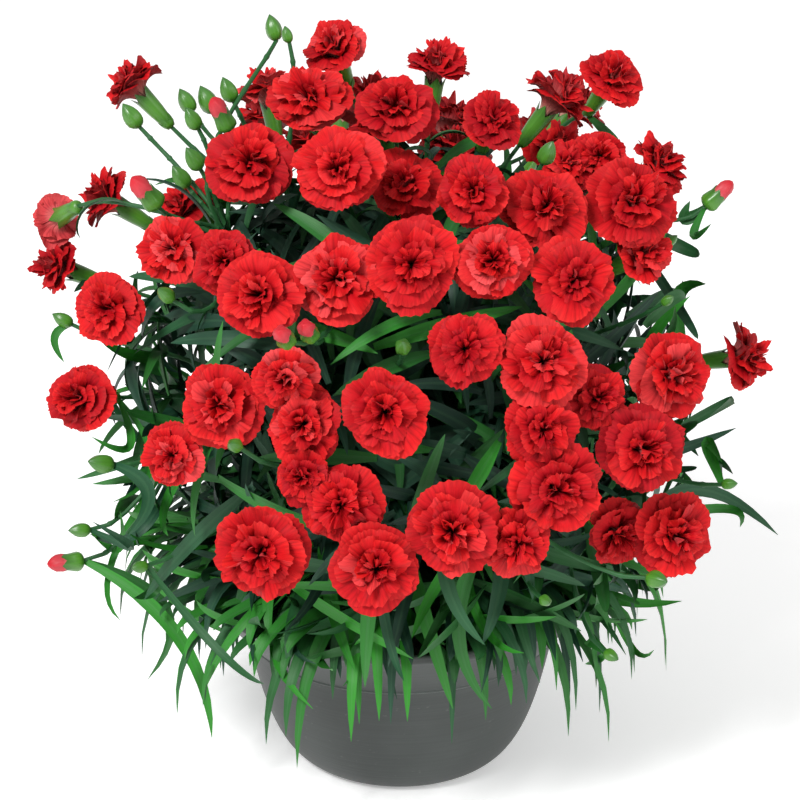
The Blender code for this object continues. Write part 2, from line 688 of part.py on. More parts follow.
def bowl_profile():
    """Radius and height around the bowl's wall: up its outside, over the rim and down its inside."""
    outside = [*wall_curve(0, 5), (BAND_RADIUS + 1.2 * MM, BAND_HEIGHT)]
    lip = [
        (RIM_RADIUS - 1.5 * MM, RIM_HEIGHT - 6 * MM),
        (RIM_RADIUS, RIM_HEIGHT - 4 * MM),
        (RIM_RADIUS, RIM_HEIGHT),
        (RIM_RADIUS - WALL, RIM_HEIGHT),
    ]
    return [*outside, *lip, *inside_profile()]


def inner_radius(height):
    """The bowl's inner radius at a height above its floor."""
    inside = sorted((z, r) for r, z in [(RIM_RADIUS - WALL, RIM_HEIGHT), *inside_profile()])
    return float(np.interp(height, [z for z, _ in inside], [r for _, r in inside]))


def soil_rings():
    """The soil, a plug that fills the bowl below its rim, with a plain hole for the crown."""
    draw = random.Random(LEAF_SEED + 3)
    floor = WALL + FIT_GAP
    heights = [floor, 20 * MM, BAND_HEIGHT + 2 * MM, SOIL_HEIGHT]
    rings = [turned_ring(FOOT_RADIUS - 4 * MM, floor, BOWL_SIDES)]
    rings += [turned_ring(inner_radius(z) - 2 * FIT_GAP, z, BOWL_SIDES) for z in heights[1:]]
    mound = turned_ring(70 * MM, SOIL_HEIGHT + 1 * MM, CROWN_SIDES * 2)
    mound[:, 2] += [draw.uniform(-2, 1) * MM for _ in mound]
    rings += [mound, turned_ring(CROWN_RADIUS + FIT_GAP, SOIL_HEIGHT, CROWN_SIDES)]
    return [*rings, turned_ring(CROWN_RADIUS + FIT_GAP, CROWN_BOTTOM - FIT_GAP, CROWN_SIDES)]


def heart_rings():
    """The crown in its hole and the bush's dense heart above it, whose surface goes in and out in tufts."""
    draw = random.Random(LEAF_SEED + 4)
    rings = [turned_ring(CROWN_RADIUS, z, CROWN_SIDES) for z in (CROWN_BOTTOM, SOIL_HEIGHT + 2 * MM)]
    for level, (radius, height) in enumerate(HEART_PROFILE):
        ring = turned_ring(radius, height, HEART_SIDES)
        tufts = [HEART_TUFTS[(level + k) % 2] for k in range(HEART_SIDES)]
        tufts = [tuft + draw.uniform(-1, 1) * HEART_UNEVEN for tuft in tufts]
        ring[:, :2] *= np.array(tufts)[:, None]
        ring[:, 2] += [draw.uniform(-4, 4) * MM for _ in ring]
        rings.append(ring)
    return [*rings, np.array([0.0, 0.0, HEART_TOP])]


def sweep_rings(path, radii, sides):
    """Rings square to a path, one at each of its points, with their own radius and number of sides."""
    path = np.asarray(path)
    ways = np.gradient(path, axis=0)
    across = np.cross(ways[0], [0.31, 0.87, 0.38])
    rings = []
    for point, way, radius, count in zip(path, ways, radii, sides):
        way = unit(way)
        across = unit(across - way * (across @ way))
        turns = (np.arange(count) * TAU / count)[:, None]
        rings.append(point + radius * (across * np.cos(turns) + np.cross(way, across) * np.sin(turns)))
    return rings


def flower_stem_rings(ends, facing):
    """A stem and the calyx on its end: a tube that widens to its mouth under the bloom."""
    stem = curve_points(ends, 3)[:-1]
    calyx = [ends[3] + facing * CALYX_LENGTH * share for share in (0.0, 0.25, 1.0)]
    radii = [STEM_RADIUS] * 3 + [CALYX_RADIUS * 0.7, CALYX_RADIUS]
    return sweep_rings([*stem, *calyx], radii, [3, 3, 3, 4, 4])


def bud_rings(base, facing, length, ends):
    """A stem and the pointed bud on its end."""
    stem = curve_points(ends, 3)[:-1]
    bud = [base + facing * length * share for share in (0.0, 0.22, 0.62, 1.0)]
    radii = [STEM_RADIUS] * 3 + [BUD_WIDTH / 2 * 0.88 * length, BUD_WIDTH / 2 * 0.88 * length, 0]
    return sweep_rings([*stem, *bud], radii, [3, 3, 3, 4, 4, 1])


def blade_stations(kind, line):
    """Where a blade has its rings: two where it is nearly made of two straight halves, or else three."""
    middle = line[OTHER_STATIONS[1]]
    lower = np.linalg.norm(line[3] - (line[0] + middle) / 2)
    upper = np.linalg.norm(line[9] - (line[-1] + middle) / 2)
    return TRACED_STATIONS if kind == "traced" and max(lower, upper) > BLADE_STRAY else OTHER_STATIONS


def blade_rings(kind, width, line, ways, sides):
    """A leaf blade: a shallow keel under two flat halves, from a sunk root to its tip."""
    widths = leaf_widths(width)
    rings = []
    for k in blade_stations(kind, line):
        half = sides[k] * widths[k] / 2
        keel = np.cross(sides[k], ways[k]) * LEAF_KEEL
        rings.append(np.array([line[k] - half, line[k] + keel, line[k] + half]))
    return [*rings, line[-1]]


def bloom_rings(radius, seed):
    """A double bloom facing +Z: a cone under five broad outer petals, then crimped layers to its middle."""
    draw = random.Random(seed)
    spin = draw.uniform(0, TAU)
    rings = []
    for count, reach, height, notch, flutter in BLOOM_LAYERS:
        ring = np.empty((count, 3))
        for k in range(count):
            turn = spin + k * TAU / count + draw.uniform(-1, 1) * flutter / reach * 0.35
            out = radius * (reach - (notch if k % 3 == 0 else 0.0) + draw.uniform(-1, 1) * flutter * 0.5)
            up = radius * (height + draw.uniform(-1, 1) * flutter)
            ring[k] = out * math.cos(turn), out * math.sin(turn), up
        rings.append(ring)
    return [*rings, np.array([0.0, 0.0, BLOOM_MIDDLE * radius])]


def material(name, colour, roughness):
    """A Principled material with one colour and no metal."""
    mat = bpy.data.materials.new(name)
    mat.use_nodes = True
    shader = mat.node_tree.nodes["Principled BSDF"]
    shader.inputs["Base Color"].default_value = (*colour, 1.0)
    shader.inputs["Roughness"].default_value = roughness
    shader.inputs["Metallic"].default_value = 0.0
    mat.diffuse_color = (*colour, 1.0)
    return mat


def body(name, rings, mat, smooth=False):
    """An object for one closed body."""
    points, faces = solid(rings)
    mesh = bpy.data.meshes.new(name)
    mesh.from_pydata(points.tolist(), [], faces)
    mesh.materials.append(mat)
    if smooth:
        mesh.shade_smooth()
        mesh.set_sharp_from_angle(angle=math.radians(28))
    obj = bpy.data.objects.new(name, mesh)
    bpy.context.scene.collection.objects.link(obj)
    return obj


def keep_largest_shell(mesh):
    """Drop the small shells of hollows that a union sealed, and loose scraps."""
    shape = bmesh.new()
    shape.from_mesh(mesh)
    bmesh.ops.triangulate(shape, faces=shape.faces)
    bmesh.ops.remove_doubles(shape, verts=shape.verts, dist=WELD)
    left = set(shape.faces)
    shells = []
    while left:
        shell = [left.pop()]
        for face in shell:
            pairs = [edge.link_faces for edge in face.edges if len(edge.link_faces) == 2]
            near = {other for pair in pairs for other in pair} & left
            left -= near
            shell.extend(near)
        shells.append(shell)
    shells.sort(key=len)
    for shell in shells[:-1]:
        bmesh.ops.delete(shape, geom=shell, context="FACES")
    shape.to_mesh(mesh)
    shape.free()


def fuse(base, others):
    """Join other bodies into base with one union, and remove them."""
    if not others:
        return base
    group = bpy.data.collections.new(base.name + " parts")
    bpy.context.scene.collection.children.link(group)
    for obj in others:
        group.objects.link(obj)
        bpy.context.scene.collection.objects.unlink(obj)
    union = base.modifiers.new("Union", "BOOLEAN")
    union.operation = "UNION"
    union.solver = "MANIFOLD"
    union.operand_type = "COLLECTION"
    union.collection = group
    graph = bpy.context.evaluated_depsgraph_get()
    whole = bpy.data.meshes.new_from_object(base.evaluated_get(graph))
    base.modifiers.clear()
    base.data = whole
    keep_largest_shell(whole)
    for obj in others:
        bpy.data.objects.remove(obj)
    bpy.data.collections.remove(group)
    return base


def touching_groups(objects, blooms):
    """Bloom numbers in groups whose petals run into each other."""
    trees = []
    for obj in objects:
        points = [obj.matrix_world @ v.co for v in obj.data.vertices]
        trees.append(BVHTree.FromPolygons(points, [tuple(f.vertices) for f in obj.data.polygons]))
    group_of = list(range(len(objects)))
    for i in range(len(objects)):
        for j in range(i):
            apart = np.linalg.norm(blooms[i][0] - blooms[j][0])
            if apart < 1.3 * (blooms[i][2] + blooms[j][2]) and trees[i].overlap(trees[j]):
                old, new = group_of[i], group_of[j]
                group_of = [new if g == old else g for g in group_of]
    return [[i for i, g in enumerate(group_of) if g == first] for first in sorted(set(group_of))]


def build_bowl():
    grey = material("Dark grey bowl", (0.085, 0.090, 0.090), 0.55)
    rings = [turned_ring(r, z, BOWL_SIDES) for r, z in bowl_profile()]
    return body("bowl", rings, grey, smooth=True)


def build_soil():
    return body("soil", soil_rings(), material("Potting soil", (0.030, 0.020, 0.014), 0.95))


def solid_leaves(blooms, stems, buds, leaves):
    """The traced leaves, and those of the others that keep clear of them and of the stems."""
    chosen = [leaf for leaf in leaves if leaf[0] == "traced"]
    taken = [curve_points(ends, 14)[5:] for ends in stems + [bud[4] for bud in buds]]
    taken = np.vstack(taken + [leaf[2][4:] for leaf in chosen])
    for kind, most in (("rim", len(chosen) + SOLID_RIM_LEAVES), ("bush", SOLID_LEAVES)):
        others = [leaf for leaf in leaves if leaf[0] == kind]
        behind = [leaf[2][-1][1] > BACK_START for leaf in others]
        order = np.arange(len(others)) * GOLDEN_TURN % 1
        for k in np.argsort(order - behind):
            _, width, line, *_ = others[k]
            bend = line[OTHER_STATIONS[1]]
            share = np.linspace(0, 1, 9)[:, None]
            chords = np.vstack([line[0] + (bend - line[0]) * share, bend + (line[-1] - bend) * share])
            gaps = np.linalg.norm(taken[:, None] - line[None, 5:], axis=2)
            if len(chosen) < most and gaps.min() > SOLID_SPACING and leaf_fits(chords, width, blooms):
                chosen.append(others[k])
                taken = np.vstack([taken, line[5:]])
    return chosen


def build_bush(blooms, stems, buds, leaves):
    """The green plant in one body: heart, stems with calyxes and buds, and leaves."""
    green = material("Leaf green", (0.060, 0.190, 0.060), 0.50)
    bush = body("bush", heart_rings(), green)
    parts = [flower_stem_rings(ends, bloom[1]) for bloom, ends in zip(blooms, stems)]
    parts += [bud_rings(base, facing, length, ends) for base, facing, length, _, ends in buds]
    parts += [blade_rings(*leaf) for leaf in solid_leaves(blooms, stems, buds, leaves)]
    return fuse(bush, [body(f"part {k}", rings, green) for k, rings in enumerate(parts)])


def build_blooms(blooms):
    """A body for each bloom, or for each group of blooms that grow into each other."""
    red = material("Bloom red", (0.720, 0.018, 0.022), 0.55)
    objects = []
    for k, (centre, facing, radius) in enumerate(blooms):
        obj = body(f"bloom_{k + 1:02d}", bloom_rings(radius, k), red)
        obj.location = centre
        obj.rotation_euler = Vector(facing).to_track_quat("Z", "Y").to_euler()
        objects.append(obj)
    bpy.context.view_layer.update()
    for group in touching_groups(objects, blooms):
        fuse(objects[group[0]], [objects[k] for k in group[1:]])


def main():
    for obj in list(bpy.data.objects):
        bpy.data.objects.remove(obj)
    blooms = bloom_layout()
    stems = stem_layout(blooms)
    buds = bud_layout(blooms, stems)
    leaves = leaf_layout(blooms, stems, buds)
    build_bowl()
    build_soil()
    build_bush(blooms, stems, buds, leaves)
    build_blooms(blooms)


main()
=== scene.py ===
"""The looks of the potted dianthus: blooms petal by petal, stems, calyxes, buds, leaves, soil and bowl.

Metres, +Z up, front at -Y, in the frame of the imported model.
"""

import math
import random

import bpy
import numpy as np
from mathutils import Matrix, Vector


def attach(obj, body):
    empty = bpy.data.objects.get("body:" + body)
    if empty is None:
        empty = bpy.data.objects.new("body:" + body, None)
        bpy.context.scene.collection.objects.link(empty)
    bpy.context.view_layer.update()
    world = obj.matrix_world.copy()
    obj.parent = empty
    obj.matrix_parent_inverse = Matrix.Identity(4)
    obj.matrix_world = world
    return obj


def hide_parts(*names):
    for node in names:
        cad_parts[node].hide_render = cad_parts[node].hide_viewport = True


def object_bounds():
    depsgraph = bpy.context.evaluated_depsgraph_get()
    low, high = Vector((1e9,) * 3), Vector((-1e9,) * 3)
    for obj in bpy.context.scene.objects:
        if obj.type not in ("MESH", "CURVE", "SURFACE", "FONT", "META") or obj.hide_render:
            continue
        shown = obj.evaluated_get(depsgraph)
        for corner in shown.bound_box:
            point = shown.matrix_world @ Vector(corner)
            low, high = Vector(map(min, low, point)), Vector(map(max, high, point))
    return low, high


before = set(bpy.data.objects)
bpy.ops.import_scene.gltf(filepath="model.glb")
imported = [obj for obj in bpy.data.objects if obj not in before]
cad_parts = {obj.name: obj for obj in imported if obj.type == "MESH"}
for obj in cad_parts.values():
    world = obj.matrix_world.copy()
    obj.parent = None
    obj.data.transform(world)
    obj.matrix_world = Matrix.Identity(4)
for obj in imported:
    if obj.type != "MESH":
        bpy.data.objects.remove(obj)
cad_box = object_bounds()

MM = 0.001
TAU = math.tau
UP = np.array([0.0, 0.0, 1.0])
GOLDEN_TURN = math.pi * (3 - math.sqrt(5))

# The bowl, from its foot to its rim.
RIM_RADIUS = 115 * MM
RIM_HEIGHT = 113 * MM
BAND_RADIUS = 87 * MM
BAND_HEIGHT = 77 * MM
FOOT_RADIUS = 52 * MM
WALL = 3 * MM
SOIL_HEIGHT = 98 * MM
FIT_GAP = 0.35 * MM

# The plant's crown stands in a plain hole in the soil.
CROWN_RADIUS = 13.5 * MM
CROWN_BOTTOM = 80 * MM

# The dome that the blooms stand on, and the photograph's view of it: the view's tilt with its cosine and
# sine, the directions ahead of the camera and above it, and the camera's place.
DOME_CENTRE = np.array([0.0, 0.0, 0.205])
DOME_RADII = np.array([0.178, 0.172, 0.190])
VIEW_ELEVATION = math.radians(23)
VIEW_DISTANCE = 1.40
VIEW_HEIGHT = 0.207
METRES_PER_PIXEL = 0.5375 * MM
PHOTO_MIDDLE = 400
LEVEL = math.cos(VIEW_ELEVATION)
FALL = math.sin(VIEW_ELEVATION)
AHEAD = np.array([0.0, LEVEL, -FALL])
ABOVE = np.array([0.0, FALL, LEVEL])
EYE = np.array([0.0, 0.0, VIEW_HEIGHT]) - AHEAD * VIEW_DISTANCE

# A bloom, as shares of its radius: where its calyx starts, and the disc over a cone that it fills.
NECK_DEPTH = 0.50
NECK_RADIUS = 0.22
CONE_FLARE = 0.90
CONE_HEIGHT = 0.43
BLOOM_HALF = 0.55

# What carries a bloom or a bud.
CALYX_LENGTH = 20 * MM
CALYX_RADIUS = 4.8 * MM
CALYX_RUN = 14 * MM
STEM_RADIUS = 1.15 * MM
STEM_ROOM = 2 * MM
STEM_SPREAD = 6
STEM_HANDLE = 0.35
STEM_ROOTS = (140 * MM, 240 * MM)
BLOOM_GAP = 0.35 * MM
STEM_TRIES = 160
BRANCH_LENGTH = 32 * MM
BRANCH_TRIES = 60
BRANCH_CHOICES = 12
STEM_SWAY = 0.6 * MM
FACING_SWAY = 0.008
BUD_WIDTH = 0.62
BUD_RISE = 0.35
BUD_LIFT_STEP = 0.02

# Every bloom that the photograph shows: pixels across and down, diameter in mm,
# lift (1 stands on the dome) and how far it turns from the dome's own direction to the viewer.
FRONT_BLOOMS = (
    (335, 50, 35, 1.00, 0.35), (133, 86, 34, 1.00, 0.00), (268, 92, 36, 0.96, 0.20),
    (310, 100, 44, 1.00, 0.45), (396, 110, 40, 1.02, 0.45), (251, 166, 45, 1.03, 0.50),
    (338, 171, 44, 1.05, 0.50), (108, 199, 37, 1.00, 0.15), (186, 206, 33, 0.86, 0.20),
    (57, 219, 28, 1.00, 0.00), (60, 267, 33, 1.04, 0.30), (108, 309, 37, 1.03, 0.60),
    (175, 250, 38, 1.00, 0.50), (226, 262, 34, 1.03, 0.45), (262, 296, 43, 1.05, 0.40),
    (338, 280, 45, 1.01, 0.40), (411, 265, 45, 1.04, 0.60), (83, 398, 40, 1.00, 0.50),
    (222, 405, 43, 1.00, 0.35), (286, 376, 34, 1.03, 0.30), (405, 187, 40, 0.86, 0.30),
    (436, 67, 34, 1.00, 0.00), (492, 122, 33, 0.97, 0.40), (556, 99, 40, 1.00, 0.10),
    (612, 79, 37, 1.00, 0.45), (473, 192, 38, 1.03, 0.55), (544, 209, 43, 1.00, 0.50),
    (630, 203, 47, 1.05, 0.50), (656, 165, 36, 0.88, 0.20), (566, 166, 32, 0.92, 0.20),
    (600, 156, 29, 0.98, 0.30), (492, 262, 38, 1.03, 0.55), (573, 281, 43, 1.04, 0.50),
    (642, 254, 34, 0.98, 0.20), (465, 349, 37, 1.03, 0.65), (542, 362, 45, 1.03, 0.50),
    (597, 398, 32, 0.98, 0.50), (669, 376, 44, 1.02, 0.40), (742, 357, 40, 1.00, 0.25),
    (174, 455, 33, 1.02, 0.50), (305, 424, 40, 0.98, 0.30), (303, 476, 28, 1.00, 0.30),
    (385, 411, 43, 1.05, 0.65), (262, 551, 48, 1.06, 0.60), (342, 504, 41, 0.99, 0.40),
    (376, 566, 46, 1.07, 0.50), (452, 529, 47, 1.03, 0.50), (517, 541, 35, 1.02, 0.40),
    (541, 429, 38, 1.01, 0.40), (554, 488, 45, 1.03, 0.50), (640, 448, 46, 1.04, 0.50),
    (616, 531, 35, 0.94, 0.30), (672, 534, 45, 1.05, 0.50),
)
BACK_BLOOMS = 15
BACK_RADII = (18.5 * MM, 22.5 * MM)
BACK_SPACING = 43 * MM
BACK_LIFTS = (1.04, 0.72, -0.02)
BACK_START = 20 * MM
BACK_SPOTS = 260
BACK_SEED = 4
BACK_SWAY = 0.25

# A bloom counts as hidden when most points of its edge lie behind the front blooms or the dense middle
# of the bush, an ellipse in pixels.
EDGE_POINTS = 12
HIDDEN_POINTS = 11
DENSE_MIDDLE = (400, 430)
DENSE_REACH = (250, 215)

# Buds in the photograph: pixels across and down, length in mm, lift, and whether red petals show.
FRONT_BUDS = (
    (273, 27, 14, 1.02, False), (287, 34, 9, 1.00, False), (186, 100, 14, 1.00, False),
    (207, 99, 16, 0.95, False), (228, 89, 14, 1.00, False), (192, 118, 13, 1.05, False),
    (222, 116, 17, 1.02, True), (193, 158, 14, 1.00, False), (180, 176, 14, 0.96, False),
    (131, 115, 15, 1.03, False), (147, 194, 19, 1.08, True), (717, 196, 17, 1.00, True),
    (588, 133, 15, 1.06, True), (548, 152, 14, 1.04, False), (520, 165, 10, 1.00, False),
    (284, 337, 15, 1.08, True), (308, 331, 15, 1.06, True), (403, 346, 12, 1.05, False),
    (497, 316, 14, 1.06, False), (165, 294, 12, 1.06, False), (62, 319, 12, 0.98, False),
    (100, 463, 15, 1.02, False), (79, 530, 12, 1.04, False), (68, 562, 17, 1.06, True),
    (139, 567, 10, 1.02, False), (234, 445, 11, 1.06, False), (658, 580, 14, 1.05, False),
    (730, 484, 9, 1.08, False), (612, 656, 10, 1.08, False), (546, 601, 9, 1.08, False),
    (592, 481, 14, 1.10, True), (667, 124, 7, 0.97, False), (672, 240, 8, 1.00, False),
    (668, 300, 8, 1.00, False),
)

# Leaves that the photograph shows along the plant's edge and over the bowl: pixels of the leaf's
# start, middle and tip, and its width in mm.
FRONT_LEAVES = (
    ((205, 602), (171, 632), (148, 679), 5.5), ((213, 602), (196, 668), (212, 738), 7.5),
    ((236, 612), (223, 650), (204, 692), 5.5), ((228, 638), (240, 670), (264, 684), 4.5),
    ((246, 618), (252, 645), (254, 667), 5.0), ((274, 640), (287, 680), (313, 709), 6.5),
    ((190, 536), (140, 531), (90, 534), 5.5), ((150, 560), (120, 538), (93, 522), 5.0),
    ((134, 577), (111, 548), (120, 511), 4.0), ((132, 578), (107, 590), (120, 620), 4.0),
    ((140, 463), (106, 470), (77, 479), 4.5), ((164, 485), (126, 479), (92, 484), 6.0),
    ((152, 485), (134, 492), (113, 502), 3.5), ((184, 582), (152, 592), (134, 598), 7.0),
    ((163, 482), (146, 510), (128, 536), 7.5), ((178, 500), (163, 515), (168, 536), 5.0),
    ((86, 336), (57, 332), (64, 362), 4.5), ((172, 411), (142, 415), (125, 410), 6.5),
    ((150, 461), (118, 449), (92, 437), 4.5), ((172, 364), (149, 368), (142, 389), 5.5),
    ((146, 356), (118, 350), (100, 340), 6.5), ((106, 268), (88, 282), (74, 292), 5.5),
    ((283, 66), (291, 49), (298, 66), 4.0), ((192, 202), (174, 180), (155, 185), 4.0),
    ((650, 150), (666, 104), (680, 118), 6.5), ((668, 132), (682, 125), (696, 112), 4.0),
    ((667, 126), (676, 140), (671, 158), 6.5), ((592, 132), (606, 132), (618, 143), 5.0),
    ((682, 168), (692, 180), (684, 190), 4.0), ((666, 238), (684, 218), (690, 201), 7.0),
    ((676, 244), (694, 236), (711, 224), 4.5), ((672, 244), (688, 250), (699, 254), 7.5),
    ((650, 301), (684, 288), (706, 284), 8.5), ((642, 342), (668, 316), (690, 296), 7.5),
    ((668, 328), (690, 325), (698, 339), 5.5), ((664, 344), (673, 326), (675, 306), 6.0),
    ((700, 398), (728, 402), (710, 416), 5.5), ((688, 441), (714, 437), (736, 428), 6.5),
    ((696, 414), (708, 442), (722, 462), 7.0), ((712, 482), (722, 463), (733, 474), 5.0),
    ((686, 487), (736, 502), (778, 535), 7.5), ((724, 492), (734, 510), (740, 527), 5.0),
    ((674, 470), (686, 469), (697, 467), 4.5), ((568, 582), (640, 603), (682, 601), 7.5),
    ((620, 566), (631, 582), (634, 602), 6.0), ((626, 560), (617, 572), (609, 584), 4.5),
    ((562, 612), (575, 640), (583, 662), 6.5), ((575, 612), (590, 640), (607, 655), 7.0),
    ((590, 600), (612, 632), (626, 655), 6.0), ((614, 648), (598, 660), (585, 664), 4.0),
    ((614, 652), (636, 652), (654, 650), 4.0), ((594, 582), (604, 598), (606, 613), 8.0),
    ((330, 598), (303, 612), (285, 632), 6.5), ((366, 622), (340, 629), (308, 634), 5.5),
    ((333, 620), (345, 648), (356, 672), 8.0), ((361, 612), (366, 650), (365, 687), 8.0),
    ((374, 648), (357, 670), (343, 686), 4.5), ((378, 618), (386, 660), (397, 699), 6.5),
    ((386, 636), (395, 660), (404, 681), 5.5), ((427, 584), (421, 615), (412, 638), 6.5),
    ((431, 608), (438, 660), (453, 709), 8.0), ((442, 612), (428, 640), (418, 657), 5.5),
    ((443, 616), (465, 665), (492, 709), 7.5), ((509, 570), (495, 610), (482, 645), 8.5),
    ((432, 578), (455, 605), (485, 645), 7.5), ((499, 636), (488, 665), (481, 693), 5.5),
    ((478, 638), (505, 648), (524, 653), 5.5), ((518, 624), (530, 655), (540, 683), 7.5),
    ((538, 606), (551, 638), (556, 661), 8.0), ((548, 562), (538, 586), (531, 603), 8.0),
    ((282, 636), (298, 654), (316, 664), 4.5), ((404, 598), (396, 636), (388, 667), 8.5),
)
LEAF_LIFTS = (0.74, 0.92, 1.00)
LEAF_SHIFTS = (0.0, 0.03, -0.03, 0.06, -0.06, 0.09, -0.09, 0.12, -0.12, 0.15)

# The dense heart of the bush, radius and height, which every leaf and stem grows out of.
HEART_PROFILE = (
    (28 * MM, 106 * MM),
    (46 * MM, 120 * MM),
    (54 * MM, 144 * MM),
    (55 * MM, 172 * MM),
    (49 * MM, 200 * MM),
    (37 * MM, 224 * MM),
    (21 * MM, 242 * MM),
)
HEART_TOP = 254 * MM
ROOT_DEPTH = 0.62

# Leaves that fill the bush between and behind those, drawn by rules: how many of each kind, and their
# ranges, with heights, reach, length and width in mm and pitch and bend in degrees.
RIM_LEAVES = 96
BUSH_LEAVES = 150
STEM_LEAVES = 144
RIM_LEAF = dict(root=(118, 150), climb=(128, 152), reach=(128, 156), tip=(58, 112), width=(6.5, 9))
BUSH_LEAF = dict(root=(126, 246), pitch=(15, 65), bend=(40, 115), length=(62, 104), width=(7, 9.5))
STEM_LEAF = dict(bend=(50, 165), length=(28, 55), width=(4.5, 6.5))
RIM_CLIMB_REACH = 104 * MM
LEAF_TRIES = 14
LEAF_SEED = 11
LEAF_STATIONS = 13
LEAF_TWIST = 1.0
TRACED_ROOTS = (126 * MM, 245 * MM)
TRACED_RISE = 8 * MM

# How far leaves keep from blooms, from the bowl's side and rim, and from the ground.
BLOOM_ROOM = 1 * MM
BOWL_ROOM = 4 * MM
RIM_ROOM = 5 * MM
GROUND_ROOM = 14 * MM

# The petals of a bloom, from the broad outer ones to the folded ones in the middle. For each ring of
# petals: how many, its centre line from throat to edge as radius and height in shares of the bloom's
# radius, half the angle that a petal covers, how deep and how many its waves are, and how far its
# corners are rounded.
PETAL_RINGS = (
    (5, ((0.15, -0.53), (0.24, -0.04), (0.62, 0.15), (1.04, -0.04)), 0.96, 0.100, 2.6, 0.10),
    (5, ((0.12, -0.50), (0.20, 0.04), (0.50, 0.27), (0.92, 0.12)), 1.02, 0.130, 3.2, 0.12),
    (5, ((0.10, -0.40), (0.16, 0.12), (0.36, 0.42), (0.69, 0.29)), 1.02, 0.155, 3.6, 0.14),
    (5, ((0.08, -0.30), (0.10, 0.20), (0.22, 0.47), (0.47, 0.43)), 1.15, 0.155, 4.2, 0.16),
    (4, ((0.05, -0.20), (0.06, 0.24), (0.12, 0.45), (0.27, 0.47)), 1.25, 0.125, 4.0, 0.18),
)
PETAL_ROWS = 7
PETAL_COLUMNS = 13
PETAL_THICKNESS = 0.3 * MM

# How petals differ: the doming of a whole bloom, then a petal's height, its growth towards the middle,
# its reach as a share, its place between its neighbours, and shares of its ring's angle, wave depth,
# wave number and rounding. Then how petals lap and fold, and how the middle leans and stands off.
PETAL_VARY = dict(
    dome=(-0.10, 0.16), height=(-0.10, 0.12), growth=(-0.04, 0.04), reach=(0.86, 1.04), place=(-0.22, 0.22),
    spread=(0.85, 1.10), depth=(0.6, 1.5), waves=(0.8, 1.3), corner=(0.6, 1.5),
)
PLACE_NAMES = ("height", "growth", "reach", "place")
SHAPE_NAMES = ("spread", "depth", "waves", "corner")
RING_TURN = 0.62
PETAL_TILT = (0.02, 0.18)
SAME_WAY_SHARE = 0.75
PETAL_FOLD = (-0.16, 0.26)
MIDDLE_LEAN = 0.22
MIDDLE_SHIFT = 0.09

# The teeth and nicks of a petal's edge, in shares of the bloom's radius.
EDGE_ROW = 0.90
TOOTH_DEPTH = 0.030
NICK_DEPTH = 0.035

# Blooms that grow into each other and share a node: the node's own bloom, then the others.
FUSED_BLOOMS = (
    (10, (11,)),
    (16, (17,)),
    (20, (41, 42, 45)),
    (30, (31,)),
    (36, (46, 47, 48, 49, 50)),
    (37, (51,)),
    (52, (53,)),
)

# Sides and joints of the fine stems, calyxes and buds, and a direction that no stem runs in.
STEM_SIDES = 7
STEM_TONE = 0.50
STEM_JOINTS = (0.26, 0.50, 0.72, 0.90)
JOINT_REACH = 0.016
CALYX_SIDES = 20
ASKEW = (0.31, 0.87, 0.38)

# A calyx, a bud and the petals that show at an opening bud, from base to tip: heights in shares of
# their length, and radii in shares of their widest.
CALYX_HEIGHTS = (0.0, 0.0, 0.10, 0.30, 0.55, 0.80, 0.98)
CALYX_RADII = (0.0, 0.42, 0.60, 0.76, 0.88, 0.96, 1.0)
BUD_HEIGHTS = (0.0, 0.0, 0.06, 0.18, 0.34, 0.52, 0.68, 0.82, 0.93, 1.0)
BUD_RADII = (0.0, 0.42, 0.68, 0.92, 1.0, 0.94, 0.76, 0.48, 0.2, 0.0)
OPENING_HEIGHTS = (0.30, 0.32, 0.50, 0.70, 0.88, 1.02, 1.12, 1.16)
OPENING_RADII = (0.0, 0.60, 0.76, 0.84, 0.78, 0.58, 0.28, 0.0)
CALYX_TEETH = 5
CALYX_SCALES = 4

# Leaves that thicken the bush: pairs along the stems, more out of the heart, more that hang over the
# rim, and leaves that lie along the bush's surface, at a depth in shares of the dome. How many of each,
# and their ranges in mm and degrees, as above.
PAIR_LEAVES = 440
HEART_LEAVES = 300
HANGING_LEAVES = 200
SHELL_LEAVES = 900
PAIR_LEAF = dict(bend=(30, 150), length=(30, 58), width=(5, 7.5))
HEART_LEAF = dict(pitch=(0, 75), bend=(30, 120), length=(58, 104), width=(6.5, 9))
HANGING_LEAF = dict(root=(112, 160), climb=(124, 152), reach=(122, 150), tip=(84, 126), width=(7, 10))
SHELL_LEAF = dict(
    depth=(0.44, 0.86), rise=(-0.3, 1.2), length=(42, 82), bow=(2, 9), droop=(0, 22), width=(6, 9)
)
HEART_LOW = 116
HEART_RISE = 132
SHELL_TOP = 0.97
SHELL_FALL = 1.60
EXTRA_TWIST = 0.9
FIT_TRIES = 8
OUTLINE_SHARE = 0.98

# Sides of the turned pieces, and how far the soil's top and the heart are lumpy.
BOWL_SIDES = 160
SOIL_SIDES = 200
SOIL_RINGS = 40
CLOD_HEIGHT = 1.4 * MM
CRUMB_HEIGHT = 1.1 * MM
LUMP_LIMIT = 3 * MM
HEART_SIDES = 24
HEART_LUMPS = 3 * MM

# Soft white surroundings, the floor's own glow, and lamps: name, place, width in metres, power in watts.
SKY_LIGHT = 0.62
FLOOR_GLOW = 0.28
LAMPS = (("key", (-0.9, -1.5, 2.0), 0.6, 62), ("fill", (1.5, -1.0, 1.0), 1.2, 12))
LAMPS_AIM = (0, 0, 0.2)

